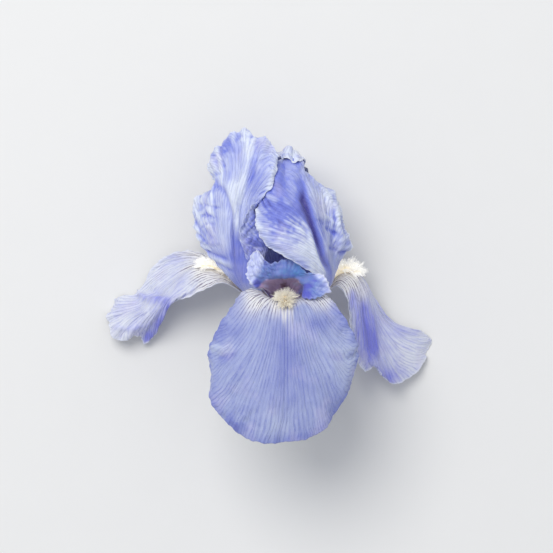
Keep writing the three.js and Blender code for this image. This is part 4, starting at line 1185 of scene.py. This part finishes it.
def stamen(bearing, rise):
    """A stamen: a filament and an anther of two long lobes with a groove between them, at a bearing.
    rise is how much higher its tip stands than the front one's."""
    neck = 0.5 + rise * 0.35
    share = np.linspace(0, 1, 30)
    thread = [(STYLE_FOOT_Y, 4.4), (-3.2, 6.8), (neck, 9.2), (neck + 1.6 + rise * 0.2, 10.6)]
    filament = tube(climbing(thread, bearing, share), FILAMENT_RADIUS - 0.22 * share, 12)
    pod = [(neck - 0.8, 7.9), (neck + 1.9 + rise * 0.28, 12.6), (neck + 3.6 + rise, 17.8)]
    share = np.linspace(0, 1, 60)
    path = climbing(pod, bearing, share)
    girth = np.maximum(np.sin(np.pi * share), 0.002) ** 0.35
    radius = ANTHER_LOBE_RADIUS * girth * (1 + 0.05 * np.sin(share * 60))
    aside = ANTHER_LOBE_OFFSET * girth[:, None] * turned(np.array([1.0, 0.0, 0.0]), bearing)
    return joined([filament, *(tube(path + way * aside, radius, 16, pollen=1) for way in (-1, 1))])


# ---------------------------------------------------------------------------------------------
# Below the petals

# Profiles of the bodies below the petals, as heights and radii from the top down.
TUBE_PROFILE = [(THROAT_Y - SEAT, 7.3), (-11, 6), (-15, 4.7), (-20, 4.1), (-24, 4.2)]
OVARY_PROFILE = [(-24.3, 4.6), (-28, 5.6), (-34, 6.2), (-40, 5.8), (-44, 4.6), (-46, 3.9)]
STALK_PROFILE = [(-46.3, 3.7), (-50, 3.7), (-56, 3.9), (-61, 4)]
# How each end of such a body closes: through smaller rings, given by their share of the end's radius and
# by how far they bulge out, from the middle out.
END_BULGE = 0.16
SHOULDERS = ((0.6, END_BULGE), (0.93, 0.12))
BRACT_FOOT_Y = -51.0
# The ribs along a bract, and the crinkles at its margin, in millimetres.
BRACT_RIB_HEIGHT = 0.05
CRINKLE_HEIGHT = 0.3
CRINKLE_LENGTH = 3.4
CRINKLE_REACH = 1.6


def sag(y):
    """How far the flower's axis sags below a straight line, at a height."""
    return -0.0022 * (y - THROAT_Y) ** 2


def turned_body(profile, lobes, ribs, rib_height, seed):
    """A body round the sagging axis: a smooth profile, closed by flat ends with rounded shoulders, with
    three wide lobes, fine ribs along it and a little unevenness."""
    heights, radii = np.array(profile, dtype=float).T
    share = np.linspace(0, 1, 70)
    y = np.interp(share, np.linspace(0, 1, len(heights)), heights)
    radius = spline_weights(len(radii), share) @ radii
    angle = np.linspace(0, 2 * np.pi, 96, endpoint=False)
    along = share[:, None]
    uneven = soft_noise(np.cos(angle) * 2 + 9 + 0 * along, along * 9 + np.sin(angle) * 2, seed)
    stray = 0.8 * soft_noise(along * 5, 0 * along, seed)
    shape = 1 + lobes * np.cos(3 * angle) + 0.018 * uneven + rib_height * np.cos(ribs * angle + stray)
    r = radius[:, None] * shape
    high = y[:, None] + 0 * r
    ring = np.stack([r * np.sin(angle), high, r * np.cos(angle) + sag(high)], axis=2)
    top, bottom = (np.array([0, y[row], sag(y[row])]) for row in (0, -1))
    rings = [
        *(top + (ring[0] - top) * inner + [0, bulge, 0] for inner, bulge in SHOULDERS),
        *ring,
        *(bottom + (ring[-1] - bottom) * inner - [0, bulge, 0] for inner, bulge in SHOULDERS[::-1]),
    ]
    ends = top + [0, END_BULGE, 0], bottom - [0, END_BULGE, 0]
    rows, sides = len(rings), len(angle)
    uv = [
        np.append(np.tile(np.abs(angle / np.pi - 1), rows), [0, 0]),
        np.append(np.repeat(np.linspace(0, 1, rows), sides), [0, 1]),
    ]
    return closed_rings(np.stack(rings), *ends, np.stack(uv, axis=1), flip=True)


def bract(bearing, half_angle, tip_y, seed):
    """A bract wraps round one side of the ovary, from its foot on the stalk to a pointed tip. It is
    ribbed along its veins, and its dry margin is crinkled."""
    s, t = np.linspace(0, 1, 81), np.linspace(0, 1, 121)
    side, length = np.meshgrid(2 * s - 1, t)
    y = BRACT_FOOT_Y + (tip_y - BRACT_FOOT_Y) * length
    radius = 4.6 + 3.5 * smooth(length, 0, 0.28) + 1.2 * length**3
    narrowing = (1 - length**2.2) * 0.97 + 0.03
    angle = np.radians(bearing + side * half_angle * narrowing)
    points = np.stack([radius * np.sin(angle), y, radius * np.cos(angle) + sag(y)], axis=2)
    rim, place = margin_of(points, s, t)
    rib = BRACT_RIB_HEIGHT * np.cos(side * 46)
    crinkle = CRINKLE_HEIGHT * np.exp(-rim / CRINKLE_REACH) * uneven_waves(place, CRINKLE_LENGTH, seed)
    crinkle = crinkle * smooth(length, 0.3, 0.6)
    dents = 0.15 * soft_noise(side * 3 + 11, length * 9, seed + 1) * smooth(length, 0.15, 0.4)
    points = points + normals_of(points) * (rib + crinkle + dents)[..., None]
    thickness = 0.22 + 0.35 * smooth(rim, 0, 3)
    return blade(points, thickness, s, t, {"rim": 1 - smooth(rim, 0, 2.4), "along": length})


# ---------------------------------------------------------------------------------------------
# Materials of the smaller pieces


def beard_finish(name, root, tip, painted_glow):
    """Beard hairs: a deeper colour at the root and a pale tip, with a little difference from hair to
    hair. A faint glow of the tip colour is painted light: it brightens the hairs where they shade one
    another."""
    skin = Finish(name, roughness=0.55, specular=0.3, sheen=0.2, subsurface=0.2)
    # Painted light: the hairs glow with the tip colour.
    skin.shader.inputs["Emission Color"].default_value = tip
    skin.shader.inputs["Emission Strength"].default_value = painted_glow
    who, _ = skin.place()
    each = skin.noise(1.0, 0.0, vector=skin.point(who * 700.0, 0.0))
    share = skin.math("ADD", skin.value("along"), (each - 0.5) * 0.7, clamp=True)
    color = skin.mix(skin.step(share, 0.0, 0.6), root, tip)
    speck = skin.noise(3200.0, 1.0)
    color = skin.mix(skin.step(speck, 0.5, 0.8, 0.0, 0.3), color, linear((250, 248, 240)))
    return skin.finish(color, skin.step(speck, 0.3, 0.7, 0.5, 0.62), speck, 0.00004)


def style_finish(colors):
    """The style's skin: a grey-blue ground with fine veins along it, painted over by the shares that the
    mesh carries for a mauve throat, light crests with painted light beside the throat, violet folds that
    are mostly painted shade, a teal face and painted shade in the dark hollows. The margin of a light
    crest has a painted highlight. Clouds break up each share."""
    skin = Finish("Style skin", roughness=0.45, specular=0.35, sheen=0.2, subsurface=0.15)
    across, along = skin.place()
    fibres = skin.stretched(across, 40.0, along, 6.0)
    clouds = skin.noise(420.0, 3.0)
    stray = (clouds - 0.5) * 0.6
    color = skin.mix(skin.step(clouds, 0.35, 0.65, 0.0, 0.5), colors["middle"], colors["teal"])
    for name in ("teal", "mauve", "violet", "light", "dark"):
        share = skin.step(skin.value(name) + stray, 0.2, 0.75)
        color = skin.mix(share * skin.step(skin.value(name), 0.0, 0.2), color, colors[name])
    above = skin.math("SUBTRACT", 1.0, skin.value("mauve"), clamp=True)
    color = skin.mix(skin.step(fibres, 0.4, 0.6, 0.3, 0.0) * above, color, colors["violet"])
    # Painted highlight: a pale edge on the margin of a light crest.
    edge = skin.value("rim") * skin.step(skin.value("light"), 0.1, 0.8, 0.12, 0.8)
    color = skin.mix(edge, color, linear((226, 230, 250)))
    return skin.finish(color, skin.step(fibres, 0.3, 0.7, 0.38, 0.55), fibres, 0.00012)


def stamen_finish(filament, pollen):
    """A stamen: a pale violet filament, streaked along it, and a cream anther grained with pollen."""
    skin = Finish("Stamen skin", roughness=0.6, specular=0.3, sheen=0.15, subsurface=0.1)
    grain = skin.noise(5200.0, 2.0, 0.7)
    thread = skin.mix(skin.step(skin.noise(600.0), 0.35, 0.65), filament, linear((225, 226, 240)))
    pod = skin.mix(skin.step(grain, 0.42, 0.6), pollen, linear((250, 246, 228)))
    color = skin.mix(skin.value("pollen"), thread, pod)
    return skin.finish(color, skin.step(grain, 0.3, 0.7, 0.5, 0.8), grain, 0.00012)


def green_finish(name, green, dark, bloom, crown=None):
    """Fresh green stalk skin: long streaks, a waxy bloom in patches and fine specks. With a crown
    colour, the upper end turns to it in streaks."""
    skin = Finish(name, roughness=0.5, specular=0.35, sheen=0.1, subsurface=0.08)
    around, along = skin.place()
    streaks = skin.stretched(around, 34.0, along, 2.4, 3.0, 0.65)
    patches = skin.noise(170.0, 4.0, 0.6)
    grain = skin.noise(4200.0, 2.0, 0.6)
    color = skin.mix(skin.step(streaks, 0.35, 0.68), green, dark)
    color = skin.mix(skin.step(patches, 0.42, 0.72, 0.0, 0.75), color, bloom)
    if crown:
        height = along + (streaks - 0.5) * 0.7
        color = skin.mix(skin.step(height, 0.0, 0.55, 0.9, 0.0), color, crown)
    color = skin.mix(skin.step(grain, 0.56, 0.7, 0.0, 0.25), color, bloom)
    return skin.finish(color, skin.step(patches, 0.35, 0.7, 0.38, 0.6), streaks + grain * 0.25, 0.00012)


def bract_finish(green, dark, dry):
    """A bract's skin: green with close dark veins along it, turning dry and papery brown at the margin
    and towards the tip."""
    skin = Finish("Bract skin", roughness=0.65, specular=0.25, sheen=0.1, subsurface=0.1)
    around, _ = skin.place()
    along = skin.value("along")
    lanes = skin.stretched(around, 60.0, along, 5.0)
    patches = skin.noise(240.0, 4.0, 0.6)
    grain = skin.noise(3800.0)
    color = skin.mix(skin.step(lanes, 0.4, 0.62), green, dark)
    dryness = skin.value("rim") + skin.step(along, 0.6, 1.0, 0.0, 0.9) + (patches - 0.5) * 1.1
    color = skin.mix(skin.step(dryness, 0.25, 0.8), color, dry)
    color = skin.mix(skin.step(grain, 0.55, 0.72, 0.0, 0.3), color, linear((206, 200, 170)))
    return skin.finish(color, skin.step(patches, 0.3, 0.7, 0.55, 0.75), lanes + grain * 0.2, 0.00014)


def floor_finish(color):
    """A plain pale surface with a hardly visible grain."""
    skin = Finish("Pale surface", roughness=0.9, specular=0.1)
    shade = (*(channel * 0.985 for channel in color[:3]), 1.0)
    return skin.finish(skin.mix(skin.noise(60.0, 3.0), color, shade))


# ---------------------------------------------------------------------------------------------
# Add-on


def number(name, text, default, least=0.0, most=10.0, **more):
    """A number that a user may change."""
    return FloatProperty(name=name, description=text, default=default, min=least, max=most, **more)


def distance(name, text, default, least=0.0, most=0.02):
    """A length in metres that a user may change."""
    return number(name, text, default, least, most, precision=5, subtype="DISTANCE", unit="LENGTH")


def tone(name, text, *screen):
    """A colour that a user may change, whose default is given as on a screen, 0 to 255."""
    ends = {"min": 0.0, "max": 1.0, "size": 3, "subtype": "COLOR"}
    return FloatVectorProperty(name=name, description=text, default=linear(screen)[:3], **ends)


def painted(look, *names):
    """The colours of these names, with alpha."""
    return [(*getattr(look, name), 1.0) for name in names]


def petal_colors(look, pale, deep, haft="haft", haft_vein="haft_vein"):
    """The colours of a petal's skin, where the names of some differ from petal to petal."""
    shared = ("blush", "inner_shade", "vein", "edge")
    names = ("pale", "deep", "haft", "haft_vein", *shared)
    return dict(zip(names, painted(look, pale, deep, haft, haft_vein, *shared)))


class IrisPetals(bpy.types.PropertyGroup):
    thickness: distance("Thickness", "Thickness of a petal in the middle of its blade", 0.00045)
    ruffle: distance("Ruffle", "Height of the folds at a petal's margin", 0.0008)
    scallop: distance("Scallop", "How far the margin runs in and out", 0.00042)
    quilting: distance("Quilting", "Height of the swellings between veins", 0.00012)
    crepe: distance("Crepe", "Height of the fine crinkles across the veins", 0.00005)
    pale: tone("Pale standard", "Ground of the standards where they are pale", 224, 232, 251)
    deep: tone("Deep standard", "Ground of the standards where they are deep", 122, 134, 222)
    front_pale: tone("Pale front fall", "Ground of the front fall where it is pale", 176, 186, 219)
    front_deep: tone("Deep front fall", "Ground of the front fall where it is deep", 124, 134, 198)
    side_pale: tone("Pale side falls", "Ground of the side falls where they are pale", 222, 226, 240)
    side_deep: tone("Deep side falls", "Ground of the side falls where they are deep", 130, 134, 228)
    blush: tone("Blush", "Warm tinge in places", 198, 194, 230)
    # Painted shade: the colour that a petal darkens to where it lies deep in shade inside the flower.
    inner_shade: tone("Dusk", "Colour inside the flower", 66, 62, 150)
    vein: tone("Vein", "Veins on the blade", 100, 110, 190)
    # Painted highlight: the pale colour of a petal's lit edge.
    edge: tone("Edge", "Light edge of a petal", 234, 238, 250)
    haft: tone("Haft", "Ground of a fall's haft", 236, 236, 238)
    haft_vein: tone("Haft veins", "Veins on a fall's haft", 88, 64, 100)


class IrisBeards(bpy.types.PropertyGroup):
    hairs: IntProperty(name="Hairs", description="Hairs in each beard", default=950, min=10, max=4000)
    hair_radius: distance("Hair radius", "Radius of a hair at its root", 0.0002)
    front_root: tone("Front root", "Root of a hair of the front beard", 206, 186, 150)
    front_tip: tone("Front tip", "Tip of a hair of the front beard", 248, 242, 226)
    root: tone("Side root", "Root of a hair of a side beard", 254, 236, 190)
    tip: tone("Side tip", "Tip of a hair of a side beard", 255, 254, 250)
    # Painted light: the glow with which each beard's hairs give off light of their own.
    front_painted_glow: number("Front glow", "Light that soaks through the front beard's hairs", 0.08)
    painted_glow: number("Side glow", "Light that soaks through the side beards' hairs", 0.24)


class IrisHeart(bpy.types.PropertyGroup):
    crest: number("Crest folds", "Height of the folds on the style's crests, against the usual", 1.0)
    middle: tone("Middle", "Middle of a style arm", 126, 142, 204)
    teal: tone("Teal", "Face of the front style arm", 92, 138, 200)
    mauve: tone("Mauve", "Foot of a style arm, above the beard", 204, 176, 212)
    # Light is the crests' own colour and also painted light beside the throat. Violet is the arms' veins
    # and also painted shade in their folds. Dark is painted shade in the hollows above the beard.
    light: tone("Light", "Crest of a style arm", 206, 214, 248)
    violet: tone("Violet", "Folds of a style arm", 98, 104, 200)
    dark: tone("Dark", "Hollows above the beard", 104, 64, 84)
    filament: tone("Filament", "Filament of a stamen", 188, 186, 218)
    pollen: tone("Anther", "Anther of a stamen", 232, 222, 186)


class IrisGreens(bpy.types.PropertyGroup):
    green: tone("Green", "Ovary and stalk", 122, 150, 84)
    dark: tone("Dark green", "Streaks on the ovary and stalk", 88, 120, 62)
    bloom: tone("Bloom", "Waxy bloom on the greens", 168, 186, 150)
    tube: tone("Tube", "Perianth tube", 150, 160, 110)
    tube_streak: tone("Tube streaks", "Streaks on the perianth tube", 126, 122, 140)
    crown: tone("Crown", "Upper end of the perianth tube", 206, 206, 232)
    dry: tone("Dry margin", "Papery margin and tip of a bract", 190, 170, 124)


class IrisStage(bpy.types.PropertyGroup):
    floor: tone("Floor", "The surface under the flower", 236, 236, 234)
    light: number("Light", "Power of the soft light from the upper left", 19.0, most=500.0, unit="POWER")
    sky: number("Sky", "Strength of the light from all round", 0.62)
    camera_distance: distance("Camera distance", "From the camera to the flower's middle", 1.6, 0.3, 10.0)
    frame_width: distance("Frame width", "What the picture takes in at the middle", 0.24885, 0.05, 5.0)


class IRIS_OT_falls(bpy.types.Operator):
    """Adds the three falls: the wide front one and the two at the sides"""

    bl_idname = "iris.falls"
    bl_label = "Falls"

    def execute(self, context):
        look = context.scene.iris_petals
        front = petal_colors(look, "front_pale", "front_deep")
        front = petal_finish("Front fall skin", front, dark=0.5, haft_dark=0.95)
        sides = petal_colors(look, "side_pale", "side_deep")
        sides = petal_finish("Side fall skin", sides, dark=0.34, haft_dark=0.95)
        for name, fall in FALLS.items():
            skin, slot = (front, "fall_petal") if name == "fall_front" else (sides, "side_fall_petal")
            piece(f"{name}_petal", petal(fall, look), skin, name)
        return {"FINISHED"}


class IRIS_OT_standards(bpy.types.Operator):
    """Adds the three upright standards"""

    bl_idname = "iris.standards"
    bl_label = "Standards"

    def execute(self, context):
        look = context.scene.iris_petals
        # A standard's haft has the deep colours of its blade.
        colors = petal_colors(look, "pale", "deep", haft="deep", haft_vein="vein")
        skin = petal_finish("Standard skin", colors, dark=0.32, haft_dark=0.4)
        for name, standard in STANDARDS.items():
            piece(f"{name}_petal", petal(standard, look), skin, name)
        return {"FINISHED"}


class IRIS_OT_beards(bpy.types.Operator):
    """Adds a beard of hairs to each fall"""

    bl_idname = "iris.beards"
    bl_label = "Beards"

    def execute(self, context):
        look = context.scene.iris_beards
        front = beard_finish("Front beard hair", *painted(look, "front_root", "front_tip"), look.front_painted_glow)
        side = beard_finish("Side beard hair", *painted(look, "root", "tip"), look.painted_glow)
        for name, settings in BEARDS.items():
            skin = front if name == "beard_front" else side
            piece(f"{name}_hairs", beard(sizes=look, **settings), skin, name)
        return {"FINISHED"}


class IRIS_OT_style(bpy.types.Operator):
    """Adds the style: a short column and three arms with crests"""

    bl_idname = "iris.style"
    bl_label = "Style"

    def execute(self, context):
        look = context.scene.iris_heart
        arms = [
            style_arm(net, bearing, seed, look.crest)
            for net, bearing, seed in (
                (FRONT_ARM, 0, 61),
                (SIDE_ARM, -ARM_BEARING, 67),
                (SIDE_ARM, ARM_BEARING, 71),
            )
        ]
        names = ("middle", "teal", "mauve", "light", "violet", "dark")
        skin = style_finish(dict(zip(names, painted(look, *names))))
        piece("style_arms", joined([style_column(), *arms]), skin, "style")
        return {"FINISHED"}


class IRIS_OT_stamens(bpy.types.Operator):
    """Adds the three stamens"""

    bl_idname = "iris.stamens"
    bl_label = "Stamens"

    def execute(self, context):
        skin = stamen_finish(*painted(context.scene.iris_heart, "filament", "pollen"))
        for name, place in STAMENS.items():
            piece(f"stamen_{name}_anther", stamen(*place), skin, f"stamen_{name}")
        return {"FINISHED"}


class IRIS_OT_stalk(bpy.types.Operator):
    """Adds the perianth tube, the ovary and the stalk"""

    bl_idname = "iris.stalk"
    bl_label = "Tube, Ovary and Stalk"

    def execute(self, context):
        look = context.scene.iris_greens
        greens = green_finish("Green skin", *painted(look, "green", "dark", "bloom"))
        tube_skin = green_finish("Tube skin", *painted(look, "tube", "tube_streak", "bloom", "crown"))
        form = turned_body(TUBE_PROFILE, lobes=0.03, ribs=12, rib_height=0.012, seed=81)
        piece("perianth_tube_skin", form, tube_skin, "perianth_tube")
        form = turned_body(OVARY_PROFILE, lobes=0.06, ribs=6, rib_height=0.014, seed=83)
        piece("ovary_skin", form, greens, "ovary")
        form = turned_body(STALK_PROFILE, lobes=0.0, ribs=24, rib_height=0.01, seed=87)
        piece("stalk_skin", form, greens, "stalk")
        return {"FINISHED"}


class IRIS_OT_bracts(bpy.types.Operator):
    """Adds the two bracts that wrap round the ovary"""

    bl_idname = "iris.bracts"
    bl_label = "Bracts"

    def execute(self, context):
        skin = bract_finish(*painted(context.scene.iris_greens, "green", "dark", "dry"))
        outer = bract(bearing=195, half_angle=82, tip_y=-11, seed=91)
        piece("bract_outer_leaf", outer, skin, "bract_outer")
        inner = bract(bearing=15, half_angle=76, tip_y=-15, seed=97)
        piece("bract_inner_leaf", inner, skin, "bract_inner")
        return {"FINISHED"}


FLOOR_REACH = 4.0
LIGHT_PLACE = (-0.5, 0.75, 1.6)
LIGHT_SIZE = 1.2
SENSOR_WIDTH = 36.0
# The picture's middle in the flower's frame, in millimetres.
PICTURE_MIDDLE = np.array([-3.825, 10.575, 0.0])


class IRIS_OT_stage(bpy.types.Operator):
    """Adds the pale surface, the soft light and the camera"""

    bl_idname = "iris.stage"
    bl_label = "Stage"

    def execute(self, context):
        look = context.scene.iris_stage
        mesh = bpy.data.meshes.new("floor")
        signs = ((-1, -1), (1, -1), (1, 1), (-1, 1))
        mesh.from_pydata([(x * FLOOR_REACH, y * FLOOR_REACH, 0) for x, y in signs], [], [(0, 1, 2, 3)])
        mesh.materials.append(floor_finish(*painted(look, "floor")))
        floor = bpy.data.objects.new("floor", mesh)
        context.collection.objects.link(floor)

        world = bpy.data.worlds.new("Soft sky")
        context.scene.world = world
        world.use_nodes = True
        background = world.node_tree.nodes["Background"]
        background.inputs["Color"].default_value = linear((244, 247, 255))
        background.inputs["Strength"].default_value = look.sky

        lamp = bpy.data.lights.new("Soft light", "AREA")
        lamp.shape = "DISK"
        lamp.size = LIGHT_SIZE
        lamp.energy = look.light
        lamp.color = (1.0, 0.985, 0.96)
        light = bpy.data.objects.new("Soft light", lamp)
        light.location = LIGHT_PLACE
        light.rotation_mode = "QUATERNION"
        light.rotation_quaternion = (-light.location).to_track_quat("-Z", "Y")
        context.collection.objects.link(light)

        lens = bpy.data.cameras.new("Camera")
        lens.sensor_width = SENSOR_WIDTH
        lens.lens = SENSOR_WIDTH * look.camera_distance / look.frame_width
        lens.clip_start, lens.clip_end = 0.01, 50.0
        camera = bpy.data.objects.new("Camera", lens)
        middle = (PICTURE_MIDDLE + SHIFT) * MM
        camera.location = (middle[0], middle[1], middle[2] + look.camera_distance)
        context.collection.objects.link(camera)
        context.scene.camera = camera
        context.scene.view_settings.view_transform = "Standard"
        return {"FINISHED"}


GROUPS = {
    "iris_petals": IrisPetals,
    "iris_beards": IrisBeards,
    "iris_heart": IrisHeart,
    "iris_greens": IrisGreens,
    "iris_stage": IrisStage,
}
OPERATORS = {
    "stage": IRIS_OT_stage,
    "falls": IRIS_OT_falls,
    "standards": IRIS_OT_standards,
    "beards": IRIS_OT_beards,
    "style": IRIS_OT_style,
    "stamens": IRIS_OT_stamens,
    "stalk": IRIS_OT_stalk,
    "bracts": IRIS_OT_bracts,
}


class IRIS_PT_panel(bpy.types.Panel):
    """The flower's sizes and colours, and a button for each group of pieces"""

    bl_idname = "IRIS_PT_panel"
    bl_label = "Bearded Iris Flower"
    bl_space_type = "VIEW_3D"
    bl_region_type = "UI"
    bl_category = "Iris"

    def draw(self, context):
        for name, group in GROUPS.items():
            box = self.layout.box()
            box.label(text=name.split("_")[1].capitalize())
            for key in group.__annotations__:
                box.prop(getattr(context.scene, name), key)
        for step in OPERATORS:
            self.layout.operator(f"iris.{step}")


CLASSES = (*GROUPS.values(), *OPERATORS.values(), IRIS_PT_panel)


def register():
    for each in CLASSES:
        bpy.utils.register_class(each)
    for name, group in GROUPS.items():
        setattr(bpy.types.Scene, name, PointerProperty(type=group))


def unregister():
    for name in GROUPS:
        delattr(bpy.types.Scene, name)
    for each in reversed(CLASSES):
        bpy.utils.unregister_class(each)


def main():
    register()
    for step in OPERATORS:
        getattr(bpy.ops.iris, step)()
    bpy.context.view_layer.update()


if __name__ == "__main__":
    main()
